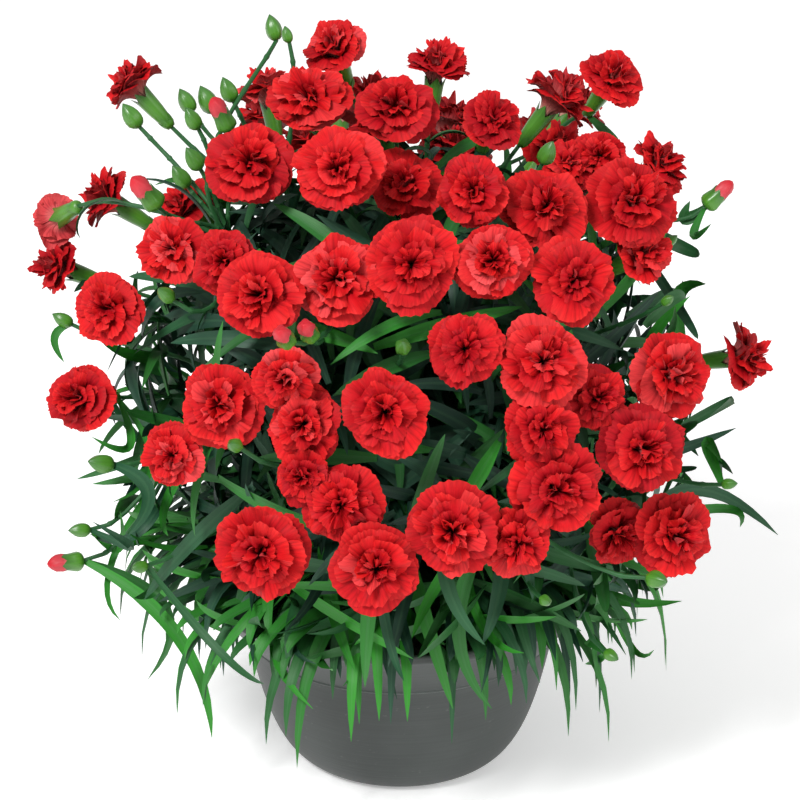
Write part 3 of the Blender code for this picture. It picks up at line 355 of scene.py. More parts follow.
# The outline of the leafy part of the bush in the photograph, in pixels across and down.
LEAFY_OUTLINE = np.array(
    (
        (215, 150), (300, 118), (420, 125), (520, 125), (600, 150), (690, 190), (702, 290), (704, 400),
        (720, 470), (690, 560), (650, 640), (560, 672), (480, 696), (400, 696), (330, 696), (260, 690),
        (200, 680), (150, 640), (118, 560), (92, 480), (82, 400), (100, 330), (130, 260), (190, 200),
    )
)
LEAFY_MIDDLE = np.array((400, 410))


def unit(v):
    """A vector's direction."""
    return v / np.linalg.norm(v)


def units(rows):
    """The direction of each vector in an array."""
    return rows / np.linalg.norm(rows, axis=-1, keepdims=True)


def sway_in(draw, reach):
    """A draw between -reach and reach."""
    return draw.uniform(-reach, reach)


def cubic(ends, t):
    """Places and directions at t along cubic curves, given an array for each of their control points."""
    a, b, c, d = ends
    place = a * (1 - t) ** 3 + 3 * b * t * (1 - t) ** 2 + 3 * c * t**2 * (1 - t) + d * t**3
    return place, 3 * (b - a) * (1 - t) ** 2 + 6 * (c - b) * t * (1 - t) + 3 * (d - c) * t**2


def curve_points(ends, count):
    """Points along the cubic curve through its four control points."""
    return cubic(ends, np.linspace(0, 1, count)[:, None])[0]


def photo_ray(across, down):
    """The direction from the camera through a pixel of the photograph."""
    right = (across - PHOTO_MIDDLE) * METRES_PER_PIXEL
    rise = (PHOTO_MIDDLE - down) * METRES_PER_PIXEL
    return unit(AHEAD * VIEW_DISTANCE + ABOVE * rise + np.array([right, 0.0, 0.0]))


def on_dome(across, down, lift):
    """Where a pixel's ray first meets the dome, scaled by lift, or passes nearest to it."""
    ray = photo_ray(across, down)
    start, step = (EYE - DOME_CENTRE) / DOME_RADII, ray / DOME_RADII
    nearest = -start @ step / (step @ step)
    short = lift**2 - ((start + nearest * step) ** 2).sum()
    return EYE + ray * (nearest - math.sqrt(max(short, 0.0) / (step @ step)))


def dome_normal(point):
    """The dome's own direction outwards at a point."""
    return unit((point - DOME_CENTRE) / DOME_RADII**2)


def photo_pixel(point):
    """The pixel of the photograph where a point shows, and how many pixels a metre spans there."""
    away = point - EYE
    scale = VIEW_DISTANCE / METRES_PER_PIXEL / (away[1] * LEVEL - away[2] * FALL)
    down = PHOTO_MIDDLE - (away[1] * FALL + away[2] * LEVEL) * scale
    return PHOTO_MIDDLE + away[0] * scale, down, scale


def hidden(centre, radius, front):
    """Whether a bloom stays behind the blooms and the dense middle of the bush in the photograph."""
    x, y, scale = photo_pixel(centre)
    turns = np.linspace(0, TAU, EDGE_POINTS, endpoint=False)
    edge_x, edge_y = x + radius * scale * np.cos(turns), y + radius * scale * np.sin(turns)
    (mid_x, mid_y), (half_x, half_y) = DENSE_MIDDLE, DENSE_REACH
    behind = ((edge_x - mid_x) / half_x) ** 2 + ((edge_y - mid_y) / half_y) ** 2 < 1
    for across, down, size in front:
        behind |= np.hypot(edge_x - across, edge_y - down) < size
    return behind.sum() >= HIDDEN_POINTS


def bloom_layout():
    """(centre, facing direction, radius) of each bloom: those in the photograph, then those behind."""
    blooms = []
    for across, down, diameter, lift, toward in FRONT_BLOOMS:
        centre = on_dome(across, down, lift)
        facing = unit(dome_normal(centre) * (1 - toward) + unit(EYE - centre) * toward)
        blooms.append((centre, facing, diameter * MM / 2))
    front = [(*photo_pixel(c)[:2], r * photo_pixel(c)[2]) for c, _, r in blooms]
    draw = random.Random(BACK_SEED)
    for k in range(BACK_SPOTS):
        height = 1 - (k + 0.5) / BACK_SPOTS * 1.06
        turn = k * GOLDEN_TURN
        flat = math.sqrt(1 - height**2)
        spot = np.array([flat * math.cos(turn), flat * math.sin(turn), height]) * DOME_RADII
        radius = draw.uniform(*BACK_RADII)
        sway = np.array([draw.uniform(-BACK_SWAY, BACK_SWAY), draw.uniform(-BACK_SWAY, BACK_SWAY), 0.2])
        for lift in np.arange(*BACK_LIFTS):
            centre = DOME_CENTRE + spot * lift
            apart = min(np.linalg.norm(centre - b[0]) for b in blooms)
            if centre[1] > BACK_START and apart > BACK_SPACING and hidden(centre, radius, front):
                blooms.append((centre, unit(dome_normal(centre) + sway), radius))
                break
        if len(blooms) == len(FRONT_BLOOMS) + BACK_BLOOMS:
            break
    for k, (centre, facing, radius) in enumerate(blooms):
        way = facing
        for attempt in range(STEM_TRIES):
            calyx = centre - np.outer(np.linspace(NECK_DEPTH * radius, CALYX_LENGTH + CALYX_RUN, 7), way)
            if clear_of_blooms(calyx, blooms, CALYX_RADIUS, k):
                break
            sway = [draw.uniform(-1, 1) * attempt * FACING_SWAY for _ in range(3)]
            way = unit(facing + sway)
        blooms[k] = centre, way, radius
    return blooms


def near_bloom(points, bloom, margin):
    """Which points lie inside a bloom's envelope, a disc over a cone, grown by margin."""
    centre, facing, radius = bloom
    away = points - centre
    height = away @ facing
    across = np.linalg.norm(away - np.outer(height, facing), axis=1)
    slope = np.clip((height / radius + BLOOM_HALF) / CONE_HEIGHT, 0.0, 1.0)
    reach = radius * (NECK_RADIUS + CONE_FLARE * slope) + margin
    low, high = -BLOOM_HALF * radius - margin, BLOOM_HALF * radius + margin
    return (across < reach) & (height > low) & (height < high)


def clear_of_blooms(points, blooms, margin, own=None):
    """Whether points keep margin from every bloom but their own."""
    return not any(near_bloom(points, b, margin).any() for i, b in enumerate(blooms) if i != own)


def heart_radius(height):
    """The heart's radius at a height."""
    heights = [z for _, z in HEART_PROFILE] + [HEART_TOP]
    radii = [r for r, _ in HEART_PROFILE] + [0.0]
    return float(np.interp(height, heights, radii))


def heart_root(tip):
    """Where a stem that reaches tip leaves the inside of the bush's heart."""
    flat = math.hypot(tip[0], tip[1])
    low, high = STEM_ROOTS
    height = min(max(low + 0.45 * (tip[2] - low), low), high)
    outward = np.array([tip[0], tip[1], 0.0]) / max(flat, 1e-6)
    return outward * min(heart_radius(height) * ROOT_DEPTH, flat * 0.8) + UP * height


def stem_curve(root, tip, facing, blooms, own, tries, draw):
    """Control points of a stem from its root to its tip, bent clear of other blooms, and if it is clear."""
    length = np.linalg.norm(tip - root)
    rise = unit(np.array([root[0], root[1], 0.0]) * STEM_SPREAD + UP)
    handle = length * STEM_HANDLE
    sway = np.zeros(3)
    for attempt in range(tries):
        ends = root, root + rise * handle + sway * 0.6, tip - facing * handle + sway, tip
        a, b, c = curve_points(ends, 3)
        share = np.linspace(0, 1, 8)[:, None]
        chords = np.vstack([a + (b - a) * share, b + (c - b) * share])
        if clear_of_blooms(np.vstack([chords, curve_points(ends, 14)[:-1]]), blooms, STEM_ROOM, own):
            return ends, True
        reach = STEM_SWAY * (attempt + 1)
        sway = np.array([draw.uniform(-1, 1), draw.uniform(-1, 1), draw.uniform(-1, 0.6)]) * reach
    return ends, False


def stem_layout(blooms):
    """Control points of each bloom's stem, which ends where its calyx starts."""
    draw = random.Random(LEAF_SEED)
    stems = []
    for i, (centre, facing, radius) in enumerate(blooms):
        tip = centre - facing * (NECK_DEPTH * radius + BLOOM_GAP + CALYX_LENGTH)
        stems.append(stem_curve(heart_root(tip), tip, facing, blooms, i, STEM_TRIES, draw)[0])
    return stems


def bud_layout(blooms, stems):
    """(base, facing, length, red petals show, stem's curve) of each bud that has room for its stem."""
    draw = random.Random(LEAF_SEED + 1)
    stalks = np.array([curve_points(ends, 3)[1] for ends in stems])
    buds = []
    for across, down, length, lift, opening in FRONT_BUDS:
        size = length * MM
        for nearer in range(12):
            middle = on_dome(across, down, lift + BUD_LIFT_STEP * nearer)
            facing = unit(dome_normal(middle) + UP * BUD_RISE)
            body = middle + np.outer(np.linspace(-0.5, 0.5, 5), facing) * size
            if clear_of_blooms(body, blooms, BUD_WIDTH * size / 2 + BLOOM_ROOM):
                break
        base = body[0]
        near = np.argsort(np.linalg.norm(stalks - (base - facing * BRANCH_LENGTH), axis=1))
        for root in [*stalks[near[:BRANCH_CHOICES]], heart_root(base)]:
            ends, fits = stem_curve(root, base, facing, blooms, None, BRANCH_TRIES, draw)
            if fits:
                buds.append((base, facing, size, opening, ends))
                break
    return buds


def bent_leaf(root, heading, pitch, bend, length, twist):
    """A leaf that sets out at heading and pitch and bends down by bend: its line, directions and sides."""
    share = np.linspace(0, 1, LEAF_STATIONS)
    angle = pitch - bend * share**1.35
    ahead = np.array([math.cos(heading), math.sin(heading), 0.0])
    side = np.array([-math.sin(heading), math.cos(heading), 0.0])
    ways = np.outer(np.cos(angle), ahead) + np.outer(np.sin(angle), UP)
    steps = (ways[1:] + ways[:-1]) / 2 * (length / (LEAF_STATIONS - 1))
    line = root + np.vstack([np.zeros(3), np.cumsum(steps, axis=0)])
    turn = (twist * share)[:, None]
    return line, ways, side * np.cos(turn) + np.cross(ways, side) * np.sin(turn)


def rim_leaf(turn, lean, root, climb, reach, tip):
    """A leaf out of the heart at turn that climbs over the rim and hangs down outside it at turn + lean."""
    first = np.array([math.cos(turn), math.sin(turn), 0.0])
    last = np.array([math.cos(turn + lean), math.sin(turn + lean), 0.0])
    ends = [
        first * heart_radius(root) * ROOT_DEPTH + UP * root,
        unit(first + last) * RIM_CLIMB_REACH + UP * climb,
        last * reach + UP * climb,
        last * reach + UP * tip,
    ]
    line = curve_points(ends, LEAF_STATIONS)
    ways = units(np.gradient(line, axis=0))
    return line, ways, units(np.cross(UP, last) - ways * (ways @ np.cross(UP, last))[:, None])


def traced_leaf(start, middle, tip, nearer, stalks):
    """A leaf through pixels of the photograph, out of the heart or a stem, its broad side to the viewer."""
    seen = [on_dome(*at, lift + nearer) for at, lift in zip((start, middle, tip), LEAF_LIFTS)]
    outward = unit(np.array([seen[0][0], seen[0][1], 0.0]))
    height = min(max(seen[0][2] + TRACED_RISE, TRACED_ROOTS[0]), TRACED_ROOTS[1])
    root = outward * heart_radius(height) * ROOT_DEPTH + UP * height
    stalk = stalks[np.linalg.norm(stalks - seen[0], axis=1).argmin()]
    if np.linalg.norm(stalk - seen[0]) < np.linalg.norm(root - seen[0]):
        root = stalk
    before, after = np.linalg.norm(seen[1] - root), np.linalg.norm(seen[2] - seen[1])
    m = before / (before + after)
    bow = (seen[1] - root * (1 - m) ** 2 - seen[2] * m**2) / (2 * m * (1 - m))
    t = np.linspace(0, 1, LEAF_STATIONS)[:, None]
    line = root * (1 - t) ** 2 + 2 * bow * t * (1 - t) + seen[2] * t**2
    ways = units(np.gradient(line, axis=0))
    return line, ways, units(np.cross(ways, line - EYE))


def bowl_radius(height):
    """The bowl's outer radius at a height."""
    heights = [0, 12 * MM, BAND_HEIGHT, RIM_HEIGHT]
    return np.interp(height, heights, [FOOT_RADIUS, 0.070, BAND_RADIUS, RIM_RADIUS])


def leaf_fits(line, width, blooms):
    """Whether a leaf clears the blooms, the bowl and the ground."""
    flat = np.hypot(line[:, 0], line[:, 1])
    over_bowl = (line[:, 2] < RIM_HEIGHT + RIM_ROOM) & (flat < bowl_radius(line[:, 2]) + BOWL_ROOM)
    if over_bowl.any() or line[:, 2].min() < GROUND_ROOM:
        return False
    between = (line[1:] + line[:-1]) / 2
    return clear_of_blooms(np.vstack([line, between]), blooms, width / 2 + BLOOM_ROOM)


def span(draw, rule, name):
    """A draw from one of a rule's ranges."""
    return draw.uniform(*rule[name])


def heart_point(turn, height):
    """Where a leaf at turn and height leaves the inside of the heart."""
    reach = heart_radius(height) * ROOT_DEPTH
    return np.array([reach * math.cos(turn), reach * math.sin(turn), height])


def rim_rule(k, of, attempt, draw, stems):
    """A leaf over the bowl's rim."""
    turn = k * GOLDEN_TURN + sway_in(draw, 0.15)
    heights = [span(draw, RIM_LEAF, name) * MM for name in ("root", "climb", "reach", "tip")]
    return span(draw, RIM_LEAF, "width") * MM, rim_leaf(turn, sway_in(draw, 0.35), *heights)


def bush_rule(k, of, attempt, draw, stems):
    """A bent leaf out of the heart, at its height by its number, steeper the higher it grows."""
    share = (k + 0.5) / of
    low, high = BUSH_LEAF["root"]
    height = (low + (high - low) * share + sway_in(draw, 6)) * MM
    turn = k * GOLDEN_TURN + sway_in(draw, 0.2)
    pitch = math.radians(span(draw, BUSH_LEAF, "pitch") + 25 * share)
    bend = math.radians(span(draw, BUSH_LEAF, "bend"))
    heading, twist = turn + sway_in(draw, 1.0), sway_in(draw, LEAF_TWIST)
    shape = heading, pitch, bend, span(draw, BUSH_LEAF, "length") * MM, twist
    return span(draw, BUSH_LEAF, "width") * MM, bent_leaf(heart_point(turn, height), *shape)


def stem_rule(k, of, attempt, draw, stems):
    """A bent leaf at a place drawn along a stem."""
    path = curve_points(stems[k % len(stems)], 21)
    at = draw.randint(8, 17)
    along = unit(path[at + 1] - path[at - 1])
    side = unit(np.cross(along, np.array([sway_in(draw, 1) for _ in range(3)])))
    way = unit(along * 0.75 + side * 0.66)
    heading = math.atan2(way[1], way[0])
    bend, twist = math.radians(span(draw, STEM_LEAF, "bend")), sway_in(draw, LEAF_TWIST)
    shape = heading, math.asin(way[2]), bend, span(draw, STEM_LEAF, "length") * MM, twist
    return span(draw, STEM_LEAF, "width") * MM, bent_leaf(path[at] - way * STEM_RADIUS, *shape)


def ruled_leaves(rules, tries, draw, blooms, stems, inside):
    """Leaves by rules of (kind, rule, how many), each the first try that is inside and clear.

    Every rule is given the same values, its number, how many there are, the try, the draw and the
    stems, and uses those that it needs. It returns a width, and the leaf's line, directions and sides.
    """
    for kind, rule, of in rules:
        for k in range(of):
            for attempt in range(tries):
                width, (line, ways, sides) = rule(k, of, attempt, draw, stems)
                if inside(line) and leaf_fits(line, width, blooms):
                    yield kind, width, line, ways, sides
                    break


def leaf_layout(blooms, stems, buds):
    """(kind, width, line, directions, sides) of each leaf: traced ones first, then those drawn by rules."""
    leaves = []
    stalks = np.vstack([curve_points(ends, 3)[1:] for ends in stems + [bud[4] for bud in buds]])
    outer = np.array([[0.0, 0.0, -1.0]])
    uses = np.zeros(len(stalks))
    for start, middle, tip, width in FRONT_LEAVES:
        choices = []
        for nearer in LEAF_SHIFTS:
            line, ways, sides = traced_leaf(start, middle, tip, nearer, stalks[uses < 2])
            if leaf_fits(line[2:], width * MM, blooms):
                room = np.linalg.norm(outer[:, None] - line[None, 4:], axis=2).min()
                choices.append((min(room, 8 * MM), -abs(nearer), line, ways, sides))
        if choices:
            *_, line, ways, sides = max(choices, key=lambda choice: choice[:2])
            leaves.append(("traced", width * MM, line, ways, sides))
            outer = np.vstack([outer, line[4:]])
            uses += np.linalg.norm(stalks - line[0], axis=1) < 1 * MM
    draw = random.Random(LEAF_SEED + 2)
    rules = ("rim", rim_rule, RIM_LEAVES), ("bush", bush_rule, BUSH_LEAVES)
    rules += (("stem", stem_rule, STEM_LEAVES),)
    return leaves + [*ruled_leaves(rules, LEAF_TRIES, draw, blooms, stems, lambda line: True)]


def wall_curve(outset, count):
    """Radius and height along the bowl's rounded wall, from its foot to its band."""
    ends = [(FOOT_RADIUS, 0), (FOOT_RADIUS + 16 * MM, 0), (BAND_RADIUS - 9 * MM, 30 * MM)]
    ends = [np.array([*end, 0.0]) for end in [*ends, (BAND_RADIUS - 1 * MM, BAND_HEIGHT - 2 * MM)]]
    curve = curve_points(ends, count)[:, :2]
    along = units(np.gradient(curve, axis=0))
    return curve + outset * np.column_stack([along[:, 1], -along[:, 0]])


def new_object(name, data):
    """An object in the scene."""
    obj = bpy.data.objects.new(name, data)
    bpy.context.scene.collection.objects.link(obj)
    return obj


def add_piece(name, body, finish, node, slot, smooth=75):
    """A piece in place of a node: body holds its points and triangles, then the values its finish reads."""
    points, faces, uv, tones, under = (*body, None, None)[:5]
    mesh = bpy.data.meshes.new(name)
    mesh.vertices.add(len(points))
    mesh.vertices.foreach_set("co", np.ascontiguousarray(points, dtype=np.float32).ravel())
    mesh.loops.add(len(faces) * 3)
    mesh.loops.foreach_set("vertex_index", np.ascontiguousarray(faces, dtype=np.int32).ravel())
    mesh.polygons.add(len(faces))
    mesh.polygons.foreach_set("loop_start", np.arange(0, len(faces) * 3, 3, dtype=np.int32))
    mesh.update(calc_edges=True)
    layer = mesh.uv_layers.new(name="surface")
    layer.data.foreach_set("uv", uv[faces.ravel()].astype(np.float32).ravel())
    if tones is not None:
        attribute = mesh.attributes.new("tone", "FLOAT", "POINT")
        attribute.data.foreach_set("value", tones.astype(np.float32))
    if under is not None:
        attribute = mesh.attributes.new("under", "FLOAT", "FACE")
        attribute.data.foreach_set("value", under.astype(np.float32))
    mesh.polygons.foreach_set("use_smooth", np.ones(len(faces), dtype=bool))
    mesh.set_sharp_from_angle(angle=math.radians(smooth))
    mesh.materials.append(finish)
    obj = new_object(name, mesh)
    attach(obj, "root")
    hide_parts(node)


def joined(bodies):
    """One body of several, end to end: their points, faces and values."""
    offsets = np.cumsum([0] + [len(body[0]) for body in bodies])
    faces = np.vstack([body[1] + offset for body, offset in zip(bodies, offsets)])
    points, _, *values = (np.concatenate(part) for part in zip(*bodies))
    return points, faces, *values


def repeated(faces, times, size):
    """The faces of one body of size points, for so many of them in a row."""
    return (faces[None] + (np.arange(times) * size)[:, None, None]).reshape(-1, 3)


def turned_to(facing):
    """The rotation that turns +Z to facing."""
    return np.array(Vector(facing).to_track_quat("Z", "Y").to_matrix())


def grid_faces(rows, columns, closed=False):
    """Triangles of a grid whose points run row by row, facing the side where rows x columns turns left."""
    i = np.arange(rows - 1)[:, None]
    j = np.arange(columns if closed else columns - 1)[None, :]
    k = (j + 1) % columns
    a, b, c, d = i * columns + j, i * columns + k, (i + 1) * columns + k, (i + 1) * columns + j
    return np.vstack([np.stack([a, b, c], -1).reshape(-1, 3), np.stack([a, c, d], -1).reshape(-1, 3)])


def petal_pattern():
    """Across and along values of a petal's points, its triangles, and which of them are on the underside.

    The face is a grid with a last row of twice as many points, the teeth of its edge. The underside
    is the same grid behind it, and both share the petal's rim, so that it is a closed thin body.
    """
    rows, columns = PETAL_ROWS, PETAL_COLUMNS
    teeth = np.linspace(-1, 1, 2 * columns - 1)[1:-1]
    across, along = np.meshgrid(np.linspace(-1, 1, columns), np.linspace(0, EDGE_ROW, rows))
    u = np.concatenate([across.ravel(), teeth])
    v = np.concatenate([along.ravel(), np.ones(len(teeth))])
    j = np.arange(columns - 1)
    a, b = (rows - 1) * columns + j, (rows - 1) * columns + j + 1
    c, d, e = rows * columns + 2 * j - 1, rows * columns + 2 * j, rows * columns + 2 * j + 1
    strip = np.vstack([np.stack([a, d, c], -1)[1:], np.stack([a, b, d], -1), np.stack([b, e, d], -1)[:-1]])
    face = np.vstack([grid_faces(rows, columns), strip])[:, ::-1]
    inner = np.zeros((rows, columns), dtype=bool)
    inner[1:, 1:-1] = True
    inner = np.concatenate([inner.ravel(), np.zeros(len(teeth), dtype=bool)])
    behind = np.arange(len(u))
    behind[inner] = len(u) + np.arange(inner.sum())
    faces = np.vstack([face, behind[face][:, ::-1]])
    under = np.concatenate([np.zeros(len(face)), np.ones(len(face))])
    return u, v, faces, under, inner


def petal_draws(draw):
    """Each petal's centre line, then its ring, half angle, turn, wave depth, wave number and rounding."""
    rows = []
    dome, start = span(draw, PETAL_VARY, "dome"), draw.uniform(0, TAU)
    for ring, (count, line, half, depth, number, corner) in enumerate(PETAL_RINGS):
        for k in range(count):
            ends = np.array(line)
            height, growth, reach, place = (span(draw, PETAL_VARY, name) for name in PLACE_NAMES)
            ends[2:, 1] += height + dome * ring / 4 + growth * ring
            ends[3] *= reach
            turn = start + ring * RING_TURN + (k + place) * TAU / count
            wide, deep, waved, cut = (span(draw, PETAL_VARY, name) for name in SHAPE_NAMES)
            rows.append((ends, ring / 4, half * wide, turn, depth * deep, number * waved, corner * cut))
    ends, *rest = zip(*rows)
    return np.array(ends), [np.array(values)[:, None] for values in rest]


def petal_waves(u, t, waves, phase):
    """How far a petal's surface swings: slow waves across it, faster ones, and folds along it."""
    swing = np.sin(waves * u + phase[:, 0:1] + 0.7 * t)
    swing = swing + 0.50 * np.sin(waves * 2.1 * u + phase[:, 1:2] + 3.0 * t)
    swing = swing + 0.30 * np.sin(waves * 1.2 * u - 7.0 * t + phase[:, 4:5])
    return swing + 0.18 * np.sin(waves * 4.3 * u + 2.0 * t + phase[:, 5:6]) * t


def petal_surface(u, v, draw):
    """Points of a bloom's petals in shares of its radius, as an array (petals, points, 3).

    A petal's points are (r(t), z(t)) along a cubic centre line, carried round the bloom's axis by
    turn + spread x u, and pushed along its normal by sine waves that grow towards its edge. Its edge
    is cut back at the corners and by teeth. The inner rings lean and stand off the middle.
    """
    ends, (ring, spread, turn, wave, waves, rounding) = petal_draws(draw)
    n = len(ends)
    phase = draw.uniform(0, TAU, (n, 6))
    teeth = v == 1
    cut = np.zeros((n, len(v)))
    zigzag = (np.arange(teeth.sum()) % 2) * TOOTH_DEPTH
    cut[:, teeth] = zigzag * draw.uniform(0.1, 1.2, (n, teeth.sum()))
    cut[:, teeth] += draw.uniform(0, 0.018, (n, teeth.sum()))
    nicks = NICK_DEPTH * np.maximum(np.sin(waves * u + phase[:, 2:3]), 0) ** 6
    t = v * (1 - rounding * np.abs(u) ** 3 - nicks * v**3) * (1 - cut)
    place, way = cubic(np.moveaxis(ends, 1, 0)[:, :, None], t[..., None])
    normal = units(np.stack([-way[..., 1], way[..., 0]], -1))
    grow = np.clip(t, 0, 1) ** 1.5
    push = petal_waves(u, t, waves, phase) * wave * grow
    r = place[..., 0] + normal[..., 0] * push
    tilt = draw.uniform(*PETAL_TILT, (n, 1))
    tilt = tilt * np.where(draw.uniform(size=(n, 1)) < SAME_WAY_SHARE, 1, -1)
    fold = draw.uniform(*PETAL_FOLD, (n, 1))
    rise = (tilt * u + fold * (np.abs(u) - 0.4)) * np.maximum(r, 0) * grow**0.3
    z = place[..., 1] + normal[..., 1] * push + rise
    claw = 0.45 + 0.55 * np.clip(t / 0.45, 0, 1)
    angle = turn + spread * u * claw + 0.07 * np.sin(2.6 * u + phase[:, 3:4]) * grow
    r = r * (1 + draw.uniform(0, 0.07) * np.cos(2 * angle + draw.uniform(0, TAU)))
    x, y = r * np.cos(angle), r * np.sin(angle)
    lean, shift = draw.uniform(-MIDDLE_LEAN, MIDDLE_LEAN, 2), draw.uniform(-MIDDLE_SHIFT, MIDDLE_SHIFT, 2)
    z = z + (lean[0] * x + lean[1] * y) * ring
    return np.stack([x + shift[0] * ring * grow, y + shift[1] * ring * grow, z], -1)


def bloom_petals(centre, facing, radius, seed, pattern):
    """All petals of one bloom: points, triangles, surface values, tones, and which faces are undersides."""
    u, v, faces, under, inner = pattern
    draw = np.random.default_rng(seed)
    local = petal_surface(u, v, draw) * radius
    n = len(local)
    grid = local[:, : PETAL_ROWS * PETAL_COLUMNS].reshape(n, PETAL_ROWS, PETAL_COLUMNS, 3)
    out = np.cross(np.gradient(grid, axis=1), np.gradient(grid, axis=2))
    out /= np.linalg.norm(out, axis=-1, keepdims=True) + 1e-12
    behind = (grid - out * PETAL_THICKNESS).reshape(n, -1, 3)[:, inner[: PETAL_ROWS * PETAL_COLUMNS]]
    local = np.concatenate([local, behind], axis=1)
    points = local @ turned_to(facing).T + centre
    uv = np.stack([(u + 1) / 2, v], -1)
    uv = np.vstack([uv, uv[inner]])
    count = points.shape[1]
    tones = np.repeat(draw.uniform(0, 1, n) * 0.6 + 0.4 * draw.uniform(), count)
    return points.reshape(-1, 3), repeated(faces, n, count), np.tile(uv, (n, 1)), tones, np.tile(under, n)


def build_blooms(blooms, finish):
    """A piece for each bloom node: all its petals, or those of every bloom that the node holds."""
    pattern = petal_pattern()
    starts = sorted(int(name[6:]) - 1 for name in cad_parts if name.startswith("bloom_"))
    groups = {first: [first] for first in starts}
    for first, more in FUSED_BLOOMS:
        groups[first - 1] += [k - 1 for k in more]
    for first, members in groups.items():
        body = joined([bloom_petals(*blooms[k], k, pattern) for k in members])
        add_piece(f"petals_{first + 1:02d}", body, finish, f"bloom_{first + 1:02d}", "petal_red")


def pointed_widths(width):
    """A strap leaf's width along its length: narrow at the root, widest at a third, then to a sharp tip."""
    share = np.linspace(0, 1, LEAF_STATIONS)
    rise = 0.45 + 0.55 * np.minimum(share / 0.30, 1.0)
    taper = (1 - np.clip((share - 0.30) / 0.70, 0, 1) ** 2.2) ** 0.70
    return np.maximum(width * rise * taper, 0.2 * MM)


def leaf_body(leaves, tones):
    """All leaves: a section of four points, both edges, a lowered midrib and a keel, along each line."""
    line, ways, sides = (np.array([leaf[k] for leaf in leaves]) for k in (2, 3, 4))
    widths = np.array([pointed_widths(leaf[1]) for leaf in leaves])
    n, stations = widths.shape
    keel = np.cross(sides, ways)
    half = sides * widths[..., None] / 2
    curl = keel * widths[..., None]
    thin = np.minimum(widths * 0.12, 0.7 * MM)[..., None]
    edges = [line - half - curl * 0.06, line + half - curl * 0.06]
    ring = np.stack([edges[0], line + curl * 0.10, edges[1], line + curl * 0.10 + keel * thin], 2)
    one = grid_faces(stations, 4, closed=True)
    last = (stations - 1) * 4
    caps = np.array([[0, 2, 1], [0, 3, 2], [last, last + 1, last + 2], [last, last + 2, last + 3]])
    one = np.vstack([one, caps])[:, ::-1]
    faces = repeated(one, n, stations * 4)
    share = np.repeat(np.linspace(0, 1, stations), 4)
    uv = np.stack([np.tile([0.0, 0.5, 1.0, 0.5], stations), share], -1)
    return ring.reshape(-1, 3), faces, np.tile(uv, (n, 1)), np.repeat(tones, stations * 4)


def inside_view(line):
    """Whether a leaf stays inside the leafy outline of the photograph and in front of the CAD's back."""
    edge = LEAFY_OUTLINE - LEAFY_MIDDLE
    away = np.array([photo_pixel(point)[:2] for point in line[::3]]) - LEAFY_MIDDLE
    turns, around = np.arctan2(edge[:, 1], edge[:, 0]), np.arctan2(away[:, 1], away[:, 0])
    order = np.argsort(turns)
    reach = np.interp(around, turns[order], np.hypot(edge[order, 0], edge[order, 1]), period=TAU)
    inside = (np.hypot(away[:, 0], away[:, 1]) < reach * OUTLINE_SHARE).all()
    return inside and line[:, 1].max() < cad_box[1][1]


def pair_rule(k, of, attempt, draw, stems):
    """One of two opposite leaves at a joint of a stem."""
    joint = random.Random(LEAF_SEED * 1000 + k // 2)
    path = curve_points(stems[k // 2 % len(stems)], 33)
    at = joint.randint(7, 29)
    along = unit(path[at + 1] - path[at - 1])
    side = unit(np.cross(along, [sway_in(joint, 1) for _ in range(3)]))
    way = unit(along * 0.8 + side * (0.6 if k % 2 else -0.6))
    bend = math.radians(span(draw, PAIR_LEAF, "bend"))
    length = span(draw, PAIR_LEAF, "length") * MM * (1 - 0.08 * attempt)
    heading = math.atan2(way[1], way[0]) + sway_in(draw, 0.3)
    shape = heading, math.asin(way[2]), bend, length, sway_in(draw, EXTRA_TWIST)
    return span(draw, PAIR_LEAF, "width") * MM, bent_leaf(path[at] - way * 1.2 * MM, *shape)


def heart_rule(k, of, attempt, draw, stems):
    """A long leaf out of the heart, at its height by its number."""
    height = (HEART_LOW + HEART_RISE * (k + 0.5) / of) * MM
    turn = k * GOLDEN_TURN + sway_in(draw, 0.2)
    pitch, bend = (math.radians(span(draw, HEART_LEAF, name)) for name in ("pitch", "bend"))
    heading, length = turn + sway_in(draw, 1.0), span(draw, HEART_LEAF, "length") * MM
    shape = heading, pitch, bend, length, sway_in(draw, EXTRA_TWIST)
    return span(draw, HEART_LEAF, "width") * MM, bent_leaf(heart_point(turn, height), *shape)


def hanging_rule(k, of, attempt, draw, stems):
    """A leaf that climbs over the bowl's rim and hangs down outside it."""
    turn, lean = k * GOLDEN_TURN + sway_in(draw, 0.2), sway_in(draw, 0.8)
    heights = [span(draw, HANGING_LEAF, name) * MM for name in ("root", "climb", "reach", "tip")]
    return span(draw, HANGING_LEAF, "width") * MM, rim_leaf(turn, lean, *heights)


